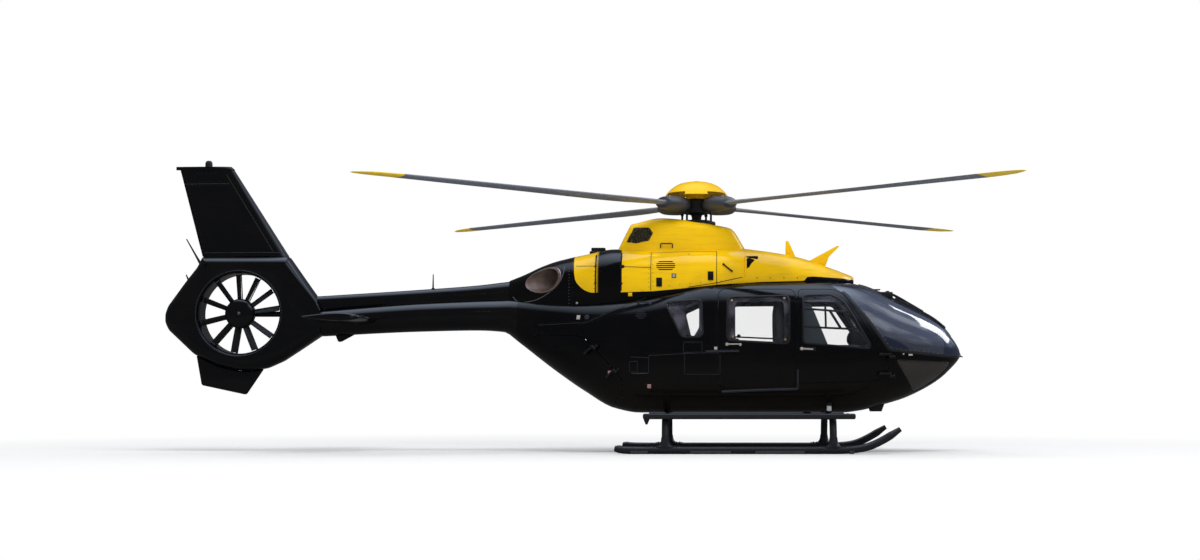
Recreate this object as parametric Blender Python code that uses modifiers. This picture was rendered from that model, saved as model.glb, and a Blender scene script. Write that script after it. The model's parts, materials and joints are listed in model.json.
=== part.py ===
"""A light twin-engine helicopter, parked on its skids with its four blades at 45 degrees.

Metres, +X to the nose, +Y to port, +Z up. The origin is on the ground, at the middle of the
object's length and width. Each named object is one real sub-part.
"""

import math
from collections import namedtuple

import bmesh
import bpy
from mathutils import Matrix, Vector

# Driving dimensions of the whole helicopter
LENGTH = 10.58  # from the tail to the tips of the forward blades
ROTOR_RADIUS = 5.20
BLADE_CHORD = 0.30
BLADE_ANGLES = (45, 135, 225, 315)
ROTOR_Z = 3.16
HALF_TRACK = 1.00
SKID_RADIUS = 0.048
CABIN_HALF_WIDTH = 0.78
BELLY_Z = 0.50
FLOOR_Z = 0.70
ROOF_Z = 2.20

# Walls, panes and fits
WALL = 0.045  # body skin with its frames and lining, and each door
COWL_WALL = 0.020
FOIL_WALL = 0.015  # skin of the fin and the stabiliser
PANE_DEPTH = 0.004  # how far a pane lies inside the skin
PANE = 0.008
GAP = 0.0003  # between pieces that touch
DOOR_GAP = 0.007  # round a door
BODY_POINTS = 24  # round a section of the body
ROOF_POINTS = 16  # round a section of a cowling, a fairing or the boom
BLADE_POINTS = 5  # along each side of a blade's section

# Blade outline beyond the cuff, as (radius, leading edge, trailing edge, thickness, twist)
LEADING = 0.10  # leading edge ahead of the blade's own axis
TRAILING = LEADING - BLADE_CHORD
BLADE_SECTIONS = (
    (0.66, LEADING - 0.025, TRAILING + 0.09, 0.056, 6),
    (1.10, LEADING, TRAILING + 0.03, 0.046, 6),
    (1.60, LEADING, TRAILING, 0.042, 5),
    (3.30, LEADING, TRAILING, 0.038, 2),
    (ROTOR_RADIUS - 0.56, LEADING, TRAILING, 0.034, 0),
    (ROTOR_RADIUS - 0.18, LEADING - 0.06, TRAILING + 0.01, 0.026, 0),
    (ROTOR_RADIUS, LEADING - 0.16, TRAILING + 0.064, 0.010, 0),
)
# The cuff at each blade's root, as (radius, half width, half height)
CUFF_SECTIONS = (
    (0.17 + GAP, 0.085, 0.085),
    (0.30, 0.15, 0.10),
    (0.46, 0.16, 0.092),
    (0.595, 0.14, 0.076),
)
TIP_REACH = max(radius - trailing for radius, _, trailing, _, _ in BLADE_SECTIONS) / math.sqrt(2)
MAST_X = LENGTH / 2 - TIP_REACH

Station = namedtuple("Station", "x half_width low wide high n_high n_low")

# Cross-sections of the body from the nose back: half width, the heights of the bottom, of the
# widest line and of the top, and how square the upper and lower corners are (2 is an ellipse).
BODY = (
    Station(4.895, 0.03, 1.215, 1.24, 1.265, 2.0, 2.0),
    Station(4.865, 0.14, 1.165, 1.245, 1.345, 2.0, 2.0),
    Station(4.79, 0.26, 1.08, 1.25, 1.46, 2.0, 2.0),
    Station(4.64, 0.39, 0.94, 1.25, 1.63, 2.05, 2.1),
    Station(4.39, 0.52, 0.785, 1.25, 1.78, 2.1, 2.2),
    Station(4.13, 0.62, 0.67, 1.25, 1.905, 2.15, 2.4),
    Station(3.87, 0.695, 0.595, 1.25, 2.03, 2.3, 2.6),
    Station(3.62, 0.74, 0.53, 1.26, 2.13, 2.5, 2.8),
    Station(3.36, 0.765, BELLY_Z, 1.28, 2.18, 2.7, 3.2),
    Station(3.00, CABIN_HALF_WIDTH, BELLY_Z, 1.30, ROOF_Z, 3.0, 3.4),
    Station(1.70, CABIN_HALF_WIDTH, BELLY_Z, 1.30, ROOF_Z, 3.2, 3.4),
    Station(1.20, 0.775, BELLY_Z, 1.30, 2.10, 3.2, 3.4),
    Station(0.80, 0.75, BELLY_Z, 1.27, 2.04, 3.0, 3.2),
    Station(0.47, 0.71, 0.56, 1.30, 2.02, 2.8, 2.8),
    Station(0.09, 0.62, 0.775, 1.40, 2.01, 2.5, 2.4),
    Station(-0.30, 0.48, 1.045, 1.53, 2.00, 2.3, 2.2),
    Station(-0.76, 0.30, 1.40, 1.70, 1.98, 2.1, 2.1),
)
BODY_FRONT = BODY[0].x
BODY_REAR = BODY[-1].x
CAVITY_FRONT = 4.70
CAVITY_REAR = BODY_REAR + WALL

BOOM = (
    BODY[-1]._replace(x=BODY_REAR - GAP),
    Station(-0.95, 0.24, 1.53, 1.75, 1.97, 2.0, 2.0),
    Station(-1.30, 0.215, 1.55, 1.75, 1.955, 2.0, 2.0),
    Station(-2.03, 0.192, 1.535, 1.73, 1.92, 2.0, 2.0),
    Station(-3.28, 0.17, 1.475, 1.65, 1.82, 2.0, 2.0),
)
SHAFT_COVER = (
    Station(-0.88, 0.13, 1.85, 1.98, 2.18, 2.4, 2.0),
    Station(-1.30, 0.11, 1.85, 1.96, 2.13, 2.4, 2.0),
    Station(-2.03, 0.10, 1.82, 1.93, 2.075, 2.4, 2.0),
    Station(-3.36, 0.085, 1.74, 1.84, 1.99, 2.4, 2.0),
)
ENGINE_COWL = (
    Station(2.12, 0.50, 1.90, 2.22, 2.605, 2.8, 2.0),
    Station(1.90, 0.56, 1.85, 2.20, 2.60, 2.8, 2.0),
    Station(1.00, 0.585, 1.60, 2.14, 2.59, 2.8, 2.0),
    Station(0.47, 0.575, 1.55, 2.12, 2.59, 2.6, 2.0),
    Station(0.09, 0.53, 1.55, 2.10, 2.52, 2.4, 2.0),
    Station(-0.06, 0.50, 1.55, 2.10, 2.49, 2.3, 2.0),
)
EXHAUST_FAIRING = (
    ENGINE_COWL[-1]._replace(x=-0.06 - GAP),
    Station(-0.30, 0.42, 1.60, 2.08, 2.43, 2.3, 2.0),
    Station(-0.49, 0.34, 1.66, 2.06, 2.36, 2.2, 2.0),
    Station(-0.68, 0.25, 1.72, 2.04, 2.27, 2.2, 2.0),
    Station(-0.88 + GAP, 0.14, 1.80, 2.02, 2.19, 2.2, 2.0),
)
ROOF_FAIRING = (
    Station(3.53, 0.10, 2.10, 2.16, 2.235, 2.0, 2.0),
    Station(3.40, 0.27, 2.05, 2.16, 2.29, 2.2, 2.0),
    Station(3.15, 0.37, 2.00, 2.16, 2.38, 2.4, 2.0),
    Station(2.85, 0.42, 2.00, 2.16, 2.48, 2.6, 2.0),
    Station(2.59, 0.45, 2.00, 2.16, 2.535, 2.6, 2.0),
    Station(2.12 + GAP, 0.49, 2.00, 2.16, 2.60, 2.6, 2.0),
)
TRANSMISSION_COWL = (
    Station(2.13, 0.22, 2.30, 2.45, 2.61, 3.0, 2.0),
    Station(1.97, 0.29, 2.30, 2.50, 2.845, 4.0, 2.0),
    Station(1.75, 0.33, 2.30, 2.50, 2.895, 5.0, 2.0),
    Station(1.46, 0.35, 2.30, 2.50, 2.95, 5.0, 2.0),
    Station(1.07, 0.35, 2.30, 2.50, 2.985, 5.0, 2.0),
    Station(0.68, 0.31, 2.30, 2.50, 2.90, 4.0, 2.0),
    Station(0.52, 0.24, 2.30, 2.45, 2.60, 3.0, 2.0),
)

# Door and window outlines as (x, z), seen from the side
CREW_DOOR = (
    (2.800, 0.870), (3.800, 0.905), (3.905, 0.985), (3.925, 1.111), (3.690, 1.485),
    (3.465, 1.848), (3.353, 2.000), (3.230, 2.045), (2.800, 2.045),
)
CREW_WINDOW = ((2.850, 1.368), (3.680, 1.300), (3.690, 1.350), (3.373, 1.885), (3.216, 1.985),
               (2.855, 1.970))
SLIDING_DOOR = ((1.797, 0.811), (2.757, 0.811), (2.757, 2.045), (1.797, 2.045))
SLIDING_WINDOW = ((1.900, 1.400), (2.681, 1.356), (2.681, 1.965), (1.913, 1.946))
AFT_WINDOW = ((1.340, 1.435), (1.607, 1.447), (1.585, 1.915), (1.128, 1.885))
WINDSHIELD = (
    (3.930, 1.294), (4.750, 1.205), (5.050, 1.190), (5.050, 2.500), (3.560, 2.500),
    (3.540, 2.240), (3.200, 2.110), (3.428, 1.958), (3.712, 1.600), (3.865, 1.385),
)
CHIN_WINDOW = (
    (4.013, 1.163), (4.262, 0.766), (4.312, 0.776), (4.420, 0.836), (4.514, 0.896),
    (4.609, 0.972), (4.702, 1.063), (4.744, 1.132),
)
CLAMSHELL = (
    (-0.500, 1.478), (0.008, 1.465), (0.121, 1.427), (0.234, 1.314), (0.523, 1.000),
    (0.599, 0.900), (0.599, 0.787), (0.500, 0.640), (0.400, 0.400), (-0.740, 0.400),
    (-0.740, 1.260),
)
POST_HALF = 0.035  # half width of the post between the windshields

# Where the panels of the body wall meet, seen from the side
NOSE_SEAM_X = 4.010
BELLY_SEAM_Z = 0.690
TAIL_SEAM_X = -0.500
ROOF_SEAM = (
    (TAIL_SEAM_X, 1.600), (0.151, 1.626), (0.602, 1.826), (1.066, 2.000), (1.900, 2.030),
    (3.200, 2.030), (3.400, 1.930), (NOSE_SEAM_X, 1.880),
)
BELOW, ABOVE = 0.30, 2.60  # heights that clear the whole body
BELLY_LAMP = Vector((2.93, 0.0, 0.44))

# What stands on the roof, and the machines under it
BLADE_ANTENNA = ((2.66, 2.48), (2.81, 2.46), (2.70, 2.705), (2.665, 2.705))
WIRE_CUTTER = ((2.93, 2.43), (3.17, 2.36), (3.22, 2.50), (3.36, 2.64), (3.33, 2.645), (3.10, 2.52))
PLATE_HALF = 0.011  # half thickness of the antennas and the wire cutter
ENGINE_BOX = ((0.22, 0.06, 1.90), (1.10, 0.40, 2.42))
GEARBOX_BOX = ((1.24, -0.22, 2.00), (1.78, 0.22, 2.80))
GEARBOX_WAY = ((0.95, -0.27, 2.40), (1.98, 0.27, 2.80))
MAST_WAY_RADIUS = 0.26
EXHAUST_MOUTH = Vector((-0.42, 0.345, 2.18))
EXHAUST_DIRECTION = Vector((-0.96, 0.28, 0.03)).normalized()
EXHAUST_REACH = (-0.31, 0.32)  # along that direction, from the mouth
EXHAUST_RADIUS = 0.158
EXHAUST_WALL = 0.012

# Hinges at port: a point on each axis, its direction, and where along it the hinges start
CREW_HINGE = Vector((3.935, 0.735, 1.10))
CREW_AXIS = Vector((0.0, 0.0, 1.0))
CREW_HINGE_STARTS = (-0.16, 0.08)
CLAMSHELL_HINGE = Vector((0.234, 0.730, 1.314))
CLAMSHELL_AXIS = Vector((-0.289, 0.0, 0.314)).normalized()
CLAMSHELL_HINGE_STARTS = (-0.43, -0.03)
KNUCKLE_RADIUS = 0.018
KNUCKLE_LENGTH = 0.030
PIN_RADIUS = 0.009
HINGE_ARM = 0.014  # half thickness of an arm
HINGE_STEP = 0.003  # from a knuckle's face to its arm's, and from there to the foot's
HINGE_FOOT = 0.040
FIXED_REACH = 0.060  # from the axis to the end of the arm on the body
DOOR_REACH = 0.140

# Guide shoes of a sliding door, which stand on the sill of its doorway
SHOE_X = (2.00, 2.55)
SHOE_Y = (0.692, 0.722)
SHOE_HALF = 0.05
SHOE_HEIGHT = 0.035

# Tail
DUCT = Vector((-4.327, 0.0, 1.765))
DUCT_RADIUS = 0.511
DUCT_STEPS = 32  # sides of the bore
LIP_RADIUS = 0.548
SHROUD_HALF = 0.17
SHROUD_EDGE = 0.085  # how much its outer edges are rounded
SHROUD_WALL = 0.025
FAN_RADIUS = 0.503
FAN_HUB_RADIUS = 0.19
FAN_Y = -0.09
FAN_ANGLES = (93.5, 64.3, 35.7, 8.1, -35.4, -67.5, -98.6, -130.8, -166.1, 159.2, 125.8)
FAN_BLADE = (0.085, 0.014, 40)  # width, thickness and pitch
VANE = (0.066, 0.014, 78)
VANE_Y = 0.085
DRIVE_RADIUS = 0.035
SHROUD = (
    (-4.824, 2.500), (-4.890, 2.363), (-5.034, 2.176), (-5.255, 1.865), (-LENGTH / 2, 1.765),
    (-LENGTH / 2, 1.656), (-5.244, 1.556), (-4.913, 1.246), (-4.613, 1.103), (-4.349, 1.036),
    (-4.172, 1.033), (-3.973, 1.069), (-3.774, 1.158), (-3.575, 1.290), (-3.2803, 1.490),
    (-3.2803, 1.830), (-3.360, 1.990), (-3.720, 2.500),
)
FIN_ROOT = (-4.840, -3.722, 2.5003)  # trailing edge x, leading edge x, height
FIN_TIP = (-5.145, -4.447, 3.620)
CAP_OVERHANG = 0.055  # behind the fin
VENTRAL = ((-4.905, 1.30), (-4.818, 0.850), (-4.250, 0.728), (-3.990, 1.12))
STABILISER_X = (-3.33, -2.57)
STABILISER_Z = 1.672
STABILISER_HALF_SPAN = 1.325
BOOM_ANTENNA = ((-3.12, 1.50), (-2.83, 1.52), (-3.04, 1.405), (-3.08, 1.405))
WHIP = (Vector((-1.87, 0.0, 2.05)), Vector((-1.87, 0.0, 2.275)))
FIN_LIGHT = (Vector((-4.78, 0.0, 3.65)), Vector((-4.78, 0.0, 3.745)))

# Skids and steps
SKID_X = (0.52, 3.37)
SKID_TOE = ((3.62, 0.075), (3.84, 0.180), (4.03, 0.305))
CROSS_TUBE_X = (1.145, 3.207)
CROSS_TUBE_RADIUS = 0.045
STEP_X = (0.87, 3.48)
STEP_Y = (0.935, 1.060)
STEP_Z = (0.425, 0.495)

# Cabin inside
SEAT_X = 3.02
SEAT_Y = 0.34
SEAT_WIDTH = 0.48
BENCH_X = 1.28
BENCH_WIDTH = 1.14
MAT = ((1.75, -0.55), (2.78, 0.55))  # the floor mat between the seat rows
MAT_THICKNESS = 0.006

HELICOPTER = "helicopter"
CUTTERS = "cutters"


# Scene, materials and objects

def clear_scene():
    for obj in list(bpy.data.objects):
        bpy.data.objects.remove(obj)
    for name in (HELICOPTER, CUTTERS):
        bpy.context.scene.collection.children.link(bpy.data.collections.new(name))


def paint(name, colour, roughness, metallic=0.0):
    """A material, made at its first use."""
    material = bpy.data.materials.get(name)
    if material is None:
        material = bpy.data.materials.new(name)
        material.use_nodes = True
        shader = material.node_tree.nodes["Principled BSDF"]
        shader.inputs["Base Color"].default_value = (*colour, 1.0)
        shader.inputs["Roughness"].default_value = roughness
        shader.inputs["Metallic"].default_value = metallic
    return material


def black():
    return paint("black paint", (0.008, 0.009, 0.010), 0.22)


def yellow():
    return paint("yellow paint", (0.90, 0.52, 0.01), 0.28)


def glass():
    return paint("tinted acrylic", (0.10, 0.12, 0.14), 0.05)


def grey_blade():
    return paint("blade grey", (0.11, 0.12, 0.14), 0.45)


def dark_metal():
    return paint("dark metal", (0.06, 0.06, 0.065), 0.45, 0.8)


def bare_steel():
    return paint("bare steel", (0.45, 0.45, 0.46), 0.35, 1.0)


def burnt_metal():
    return paint("heat-coloured metal", (0.30, 0.17, 0.10), 0.40, 0.9)


def cloth():
    return paint("grey cloth", (0.16, 0.16, 0.17), 0.90)


def trim():
    return paint("dark trim", (0.035, 0.035, 0.04), 0.70)


def mesh_object(name, bm, material=None):
    """Turns a bmesh into a part, or into a cutter where there is no material."""
    mesh = bpy.data.meshes.new(name)
    bm.to_mesh(mesh)
    bm.free()
    return placed(bpy.data.objects.new(name, mesh), material)


def placed(obj, material):
    if material is None:
        bpy.data.collections[CUTTERS].objects.link(obj)
        obj.hide_render = True
        obj.display_type = "WIRE"
    else:
        bpy.data.collections[HELICOPTER].objects.link(obj)
        obj.data.materials.clear()
        obj.data.materials.append(material)
    return obj


def bake(obj):
    """Replaces an object's data by its evaluated mesh, with the caps of a curve welded on."""
    bpy.context.view_layer.update()
    graph = bpy.context.evaluated_depsgraph_get()
    mesh = bpy.data.meshes.new_from_object(obj.evaluated_get(graph))
    bm = bmesh.new()
    bm.from_mesh(mesh)
    bmesh.ops.remove_doubles(bm, verts=bm.verts, dist=1e-6)
    bm.to_mesh(mesh)
    bm.free()
    if obj.type == "MESH":
        obj.modifiers.clear()
        obj.data = mesh
        return obj
    name, matrix, material = obj.name, obj.matrix_world.copy(), obj.active_material
    bpy.data.objects.remove(obj)
    made = placed(bpy.data.objects.new(name, mesh), material)
    made.name = name
    made.matrix_world = matrix
    return made


def combine(target, other, operation, keep=False):
    """One exact Boolean, baked at once."""
    modifier = target.modifiers.new(operation.title(), "BOOLEAN")
    modifier.operation = operation
    modifier.solver = "EXACT"
    modifier.object = other
    bake(target)
    if not keep:
        bpy.data.objects.remove(other)
    return target


def cut(target, *cutters, keep=False):
    for cutter in cutters:
        combine(target, cutter, "DIFFERENCE", keep)
    return target


def join(target, *others):
    for other in others:
        combine(target, other, "UNION")
    return target


def copy_of(source, name, material=None):
    return placed(bpy.data.objects.new(name, source.data.copy()), material)


def mirrored(source, name):
    """The same piece on the other side of the centre plane."""
    twin = copy_of(source, name, source.active_material)
    twin.data.transform(Matrix.Scale(-1, 4, (0, 1, 0)))
    twin.data.flip_normals()
    return twin


def smooth(obj, angle=35):
    obj.data.shade_smooth()
    obj.data.set_sharp_from_angle(angle=math.radians(angle))
    return obj


def hang(name, point, axis, *pieces):
    """Parents pieces to an empty on their joint's axis, whose Z is the axis."""
    pivot = bpy.data.objects.new(name, None)
    pivot.location = point
    pivot.rotation_euler = axis.to_track_quat("Z", "Y").to_euler()
    bpy.data.collections[HELICOPTER].objects.link(pivot)
    bpy.context.view_layer.update()
    for piece in pieces:
        piece.parent = pivot
        piece.matrix_parent_inverse = pivot.matrix_world.inverted()


# Shapes

def block(name, low, high, material=None, bevel=0.0):
    bm = bmesh.new()
    bmesh.ops.create_cube(bm, size=1.0)
    low, high = Vector(low), Vector(high)
    bmesh.ops.scale(bm, vec=high - low, verts=bm.verts)
    bmesh.ops.translate(bm, vec=(low + high) / 2, verts=bm.verts)
    if bevel:
        bmesh.ops.bevel(bm, geom=bm.edges[:], offset=bevel, segments=2, profile=0.5,
                        affect="EDGES")
    return mesh_object(name, bm, material)


def cylinder(name, start, end, radius, material=None, sides=24, end_radius=None):
    """A cylinder, or a cone with an end radius, from one point to another."""
    start, end = Vector(start), Vector(end)
    bm = bmesh.new()
    bmesh.ops.create_cone(
        bm, cap_ends=True, segments=sides, radius1=radius,
        radius2=radius if end_radius is None else end_radius, depth=(end - start).length,
    )
    turn = (end - start).to_track_quat("Z", "Y").to_matrix().to_4x4()
    bmesh.ops.transform(bm, matrix=Matrix.Translation((start + end) / 2) @ turn, verts=bm.verts)
    return mesh_object(name, bm, material)


def turned(name, profile, centre, material=None, steps=32, axis="Z"):
    """A solid turned from (radius, height) points that run from the axis, top first."""
    bm = bmesh.new()
    points = [bm.verts.new((radius, 0, height)) for radius, height in profile]
    for a, b in zip(points, points[1:]):
        bm.edges.new((a, b))
    obj = mesh_object(name, bm, material)
    screw = obj.modifiers.new("Screw", "SCREW")
    screw.steps = screw.render_steps = steps
    screw.use_merge_vertices = True
    screw.merge_threshold = 0.0001
    bake(obj)
    bm = bmesh.new()
    bm.from_mesh(obj.data)
    bmesh.ops.recalc_face_normals(bm, faces=bm.faces)
    bm.to_mesh(obj.data)
    bm.free()
    if axis == "Y":
        obj.data.transform(Matrix.Rotation(math.radians(90), 4, "X"))
    obj.data.transform(Matrix.Translation(centre))
    return obj


def tube(name, points, radius, material):
    """A round tube along a poly line, as a mesh."""
    curve = bpy.data.curves.new(name, "CURVE")
    curve.dimensions = "3D"
    curve.bevel_depth = radius
    curve.bevel_resolution = 2
    curve.use_fill_caps = True
    spline = curve.splines.new("POLY")
    spline.points.add(len(points) - 1)
    for vertex, point in zip(spline.points, points):
        vertex.co = (*point, 1.0)
    return bake(placed(bpy.data.objects.new(name, curve), material))


def arc_through(corners, steps=3):
    """A poly line whose inner corners are rounded off half way along each side."""
    corners = [Vector(p) for p in corners]
    line = [corners[0]]
    for before, corner, after in zip(corners, corners[1:], corners[2:]):
        start = (before + corner) / 2
        end = (corner + after) / 2
        for i in range(steps + 1):
            s = i / steps
            line.append(start * (1 - s) ** 2 + corner * 2 * s * (1 - s) + end * s * s)
    line.append(corners[-1])
    return [p for p, q in zip(line, line[1:] + [None]) if q is None or (p - q).length > 1e-5]


def rounded(corners, radius, steps=2):
    """A closed (x, z) outline with its corners rounded."""
    outline = []
    count = len(corners)
    for i in range(count):
        corner = Vector(corners[i])
        to_before = Vector(corners[i - 1]) - corner
        to_after = Vector(corners[(i + 1) % count]) - corner
        reach = min(radius, 0.45 * to_before.length, 0.45 * to_after.length)
        start = corner + to_before.normalized() * reach
        end = corner + to_after.normalized() * reach
        for k in range(steps + 1):
            s = k / steps
            outline.append(start * (1 - s) ** 2 + corner * 2 * s * (1 - s) + end * s * s)
    return outline


def grown(outline, by):
    """A closed (x, z) outline moved outwards all round."""
    points = [Vector(p) for p in outline]
    area = sum(a.x * b.y - b.x * a.y for a, b in zip(points, points[1:] + points[:1]))
    side = 1 if area > 0 else -1
    moved = []
    for i, point in enumerate(points):
        first = (point - points[i - 1]).normalized()
        second = (points[(i + 1) % len(points)] - point).normalized()
        out_first = Vector((first.y, -first.x)) * side
        out_second = Vector((second.y, -second.x)) * side
        moved.append(point + (out_first + out_second) * by / (1 + out_first.dot(out_second)))
    return moved


def prism(name, outline, y_low, y_high, material=None):
    """A side view outline carried from one y to the other."""
    bm = bmesh.new()
    face = bm.faces.new([bm.verts.new((x, y_low, z)) for x, z in outline])
    made = bmesh.ops.extrude_face_region(bm, geom=[face])
    far = [item for item in made["geom"] if isinstance(item, bmesh.types.BMVert)]
    bmesh.ops.translate(bm, vec=(0, y_high - y_low, 0), verts=far)
    bmesh.ops.recalc_face_normals(bm, faces=bm.faces)
    return mesh_object(name, bm, material)


def loft(name, rings, material=None):
    """A closed solid through rings that have the same number of points."""
    bm = bmesh.new()
    loops = [[bm.verts.new(point) for point in ring] for ring in rings]
    for a, b in zip(loops, loops[1:]):
        for i in range(len(a)):
            j = (i + 1) % len(a)
            bm.faces.new((a[i], a[j], b[j], b[i]))
    bm.faces.new(loops[0])
    bm.faces.new(loops[-1])
    bmesh.ops.recalc_face_normals(bm, faces=bm.faces)
    bmesh.ops.triangulate(bm, faces=bm.faces)
    return mesh_object(name, bm, material)


def section(station, inset, count):
    """A super-ellipse ring across X, moved in by the inset, with flats at its four extremes."""
    half_step = math.pi / count
    ring = []
    for i in range(count):
        angle = (2 * i + 1) * half_step
        across = min(1.0, abs(math.cos(angle)) / math.cos(half_step))
        upward = min(1.0, abs(math.sin(angle)) / math.cos(half_step))
        above = math.sin(angle) > 0
        power = 2 / (station.n_high if above else station.n_low)
        rise = station.high - station.wide if above else station.wide - station.low
        y = (station.half_width - inset) * math.copysign(across ** power, math.cos(angle))
        z = (rise - inset) * math.copysign(upward ** power, math.sin(angle))
        ring.append((station.x, y, station.wide + z))
    return ring


def station_at(stations, x):
    """The cross-section at any x, between the two listed nearest to it."""
    for front, rear in zip(stations, stations[1:]):
        if rear.x <= x <= front.x:
            share = (front.x - x) / (front.x - rear.x)
            return Station(*(a + (b - a) * share for a, b in zip(front, rear)))
    raise ValueError(f"no section at x = {x}")


def body_loft(name, stations, inset=0.0, front=None, rear=None, count=ROOF_POINTS,
              material=None):
    """A loft through the stations, cut short at either end where an x is given."""
    front = stations[0].x if front is None else front
    rear = stations[-1].x if rear is None else rear
    inner = [s for s in stations if rear < s.x < front]
    chosen = [station_at(stations, front), *inner, station_at(stations, rear)]
    return loft(name, [section(s, inset, count) for s in chosen], material)


def airfoil(chord, thickness, points=7):
    """A closed symmetric (along, across) section, leading edge at 0."""
    upper = []
    for i in range(points + 1):
        s = 0.5 * (1 - math.cos(math.pi * i / points))
        half = 5 * thickness * (0.2969 * math.sqrt(s) - 0.126 * s - 0.3516 * s ** 2
                                + 0.2843 * s ** 3 - 0.1015 * s ** 4)
        upper.append((s * chord, max(half, 0.002)))
    lower = [(s, -half) for s, half in reversed(upper)]
    return upper + lower


# Body, doors and windows

def solid_body(name, inset=0.0, front=BODY_FRONT, rear=BODY_REAR):
    return body_loft(name, BODY, inset, front, rear, BODY_POINTS)


def make_skin():
    """The whole wall of the body, before it is divided."""
    return cut(solid_body("skin"), solid_body("cavity", WALL, CAVITY_FRONT, CAVITY_REAR))


def make_pane_skin():
    inside = solid_body("pane_inside", PANE_DEPTH + PANE, BODY_FRONT - 0.05, BODY_REAR + 0.05)
    return cut(solid_body("pane_skin", PANE_DEPTH), inside)


def panel_within(name, source, outline, material, low=0.15, high=1.0):
    """The part of a wall inside an outline, between two y values."""
    panel = copy_of(source, name, material)
    return combine(panel, prism("outline", outline, low, high), "INTERSECT")


def windshield_outline(by=0.0):
    return grown(rounded(WINDSHIELD, 0.04, 2), by)


def make_panes(pane_skin):
    """Every window at port and its twin, each a thin sheet that follows the body."""
    windows = (
        ("crew_window", rounded(CREW_WINDOW, 0.05)),
        ("sliding_window", rounded(SLIDING_WINDOW, 0.07)),
        ("aft_window", rounded(AFT_WINDOW, 0.07)),
        ("chin_window", rounded(CHIN_WINDOW, 0.05)),
    )
    for name, outline in windows:
        pane = panel_within(name + "_left", pane_skin, grown(outline, -GAP), glass())
        mirrored(smooth(pane), name + "_right")
    pane = panel_within("windshield_left", pane_skin, windshield_outline(-GAP), glass(),
                        POST_HALF + GAP)
    mirrored(smooth(pane), "windshield_right")


def skin_y(x, z):
    """Half the body's width at a point of its side view."""
    station = station_at(BODY, x)
    above = z > station.wide
    rise = station.high - station.wide if above else station.wide - station.low
    power = station.n_high if above else station.n_low
    return station.half_width * (1 - (abs(z - station.wide) / rise) ** power) ** (1 / power)


def hinge_half(name, frame, reach, low, high):
    """A knuckle, its arm outside the skin, and a foot down into the middle of the wall.

    In the hinge's frame X runs to the fixed side, Y outwards and Z along the axis. A negative
    reach leads to the door.
    """
    heel = math.copysign(abs(reach) - HINGE_FOOT, reach)
    spot = frame @ Vector(((reach + heel) / 2, 0, (low + high) / 2))
    depth = spot.y - skin_y(spot.x, spot.z) + WALL / 2
    half = cylinder(name, (0, 0, low), (0, 0, high), KNUCKLE_RADIUS, sides=12)
    near, far = sorted((0, reach))
    join(half, block("arm", (near, -HINGE_ARM, low + HINGE_STEP),
                     (far, HINGE_ARM, high - HINGE_STEP)))
    near, far = sorted((heel, reach))
    return join(half, block("foot", (near + HINGE_STEP, -depth, low + 2 * HINGE_STEP),
                            (far - HINGE_STEP, 0, high - 2 * HINGE_STEP)))


def add_hinge(door, shell, point, axis):
    """A hinge between a port door and the shell, and the fixed half of its twin at starboard."""
    outwards = Vector((0, 1, 0))
    turn = Matrix((outwards.cross(axis), outwards, axis)).transposed().to_4x4()
    frame = Matrix.Translation(point) @ turn
    top = 2 * KNUCKLE_LENGTH
    fixed = hinge_half("fixed_half", frame, FIXED_REACH, 0, KNUCKLE_LENGTH)
    join(fixed, cylinder("pin", (0, 0, 0), (0, 0, top), PIN_RADIUS, sides=12))
    moving = hinge_half("moving_half", frame, -DOOR_REACH, KNUCKLE_LENGTH + GAP, top)
    cut(moving, cylinder("eye", (0, 0, 0), (0, 0, 2 * top), PIN_RADIUS + 2 * GAP, sides=12))
    for half in (fixed, moving):
        half.data.transform(frame)
    join(shell, mirrored(fixed, "fixed_twin"), fixed)
    join(door, moving)


def make_doors(skin, wall):
    """The three doors of the port side with their twins, and their hinges on the wall."""
    crew = panel_within("crew_door_left", skin, rounded(CREW_DOOR, 0.06), black())
    cut(crew, prism("window", rounded(CREW_WINDOW, 0.05), 0.15, 1.0))
    for start in CREW_HINGE_STARTS:
        add_hinge(crew, wall, CREW_HINGE + CREW_AXIS * start, CREW_AXIS)
    slide = panel_within("sliding_door_left", skin, rounded(SLIDING_DOOR, 0.10), black())
    cut(slide, prism("window", rounded(SLIDING_WINDOW, 0.07), 0.15, 1.0))
    sill = SLIDING_DOOR[0][1] - DOOR_GAP + GAP
    for x in SHOE_X:
        join(slide, block("shoe", (x - SHOE_HALF, SHOE_Y[0], sill),
                          (x + SHOE_HALF, SHOE_Y[1], sill + SHOE_HEIGHT)))
    clam = panel_within("clamshell_left", skin, CLAMSHELL, black(), DOOR_GAP / 2)
    for start in CLAMSHELL_HINGE_STARTS:
        add_hinge(clam, wall, CLAMSHELL_HINGE + CLAMSHELL_AXIS * start, CLAMSHELL_AXIS)
    for door in (crew, slide, clam):
        mirrored(smooth(door), door.name.replace("left", "right"))


def make_wall(skin):
    """What is left of the wall between the doors and windows, with the lamp under the belly."""
    wall = copy_of(skin, "wall", black())
    for outline in (rounded(CREW_DOOR, 0.06), rounded(SLIDING_DOOR, 0.10), CLAMSHELL):
        cut(wall, prism("doorway", grown(outline, DOOR_GAP), -1.0, 1.0))
    for side in (-1, 1):
        for outline in (rounded(AFT_WINDOW, 0.07), rounded(CHIN_WINDOW, 0.05)):
            cut(wall, prism("window", outline, min(0.15 * side, side), max(0.15 * side, side)))
        near, far = sorted((side * POST_HALF, side))
        cut(wall, prism("windshield", windshield_outline(), near, far))
    return join(wall, cylinder("lamp", BELLY_LAMP, BELLY_LAMP + Vector((0, 0, 0.09)), 0.055,
                               sides=16))


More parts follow.
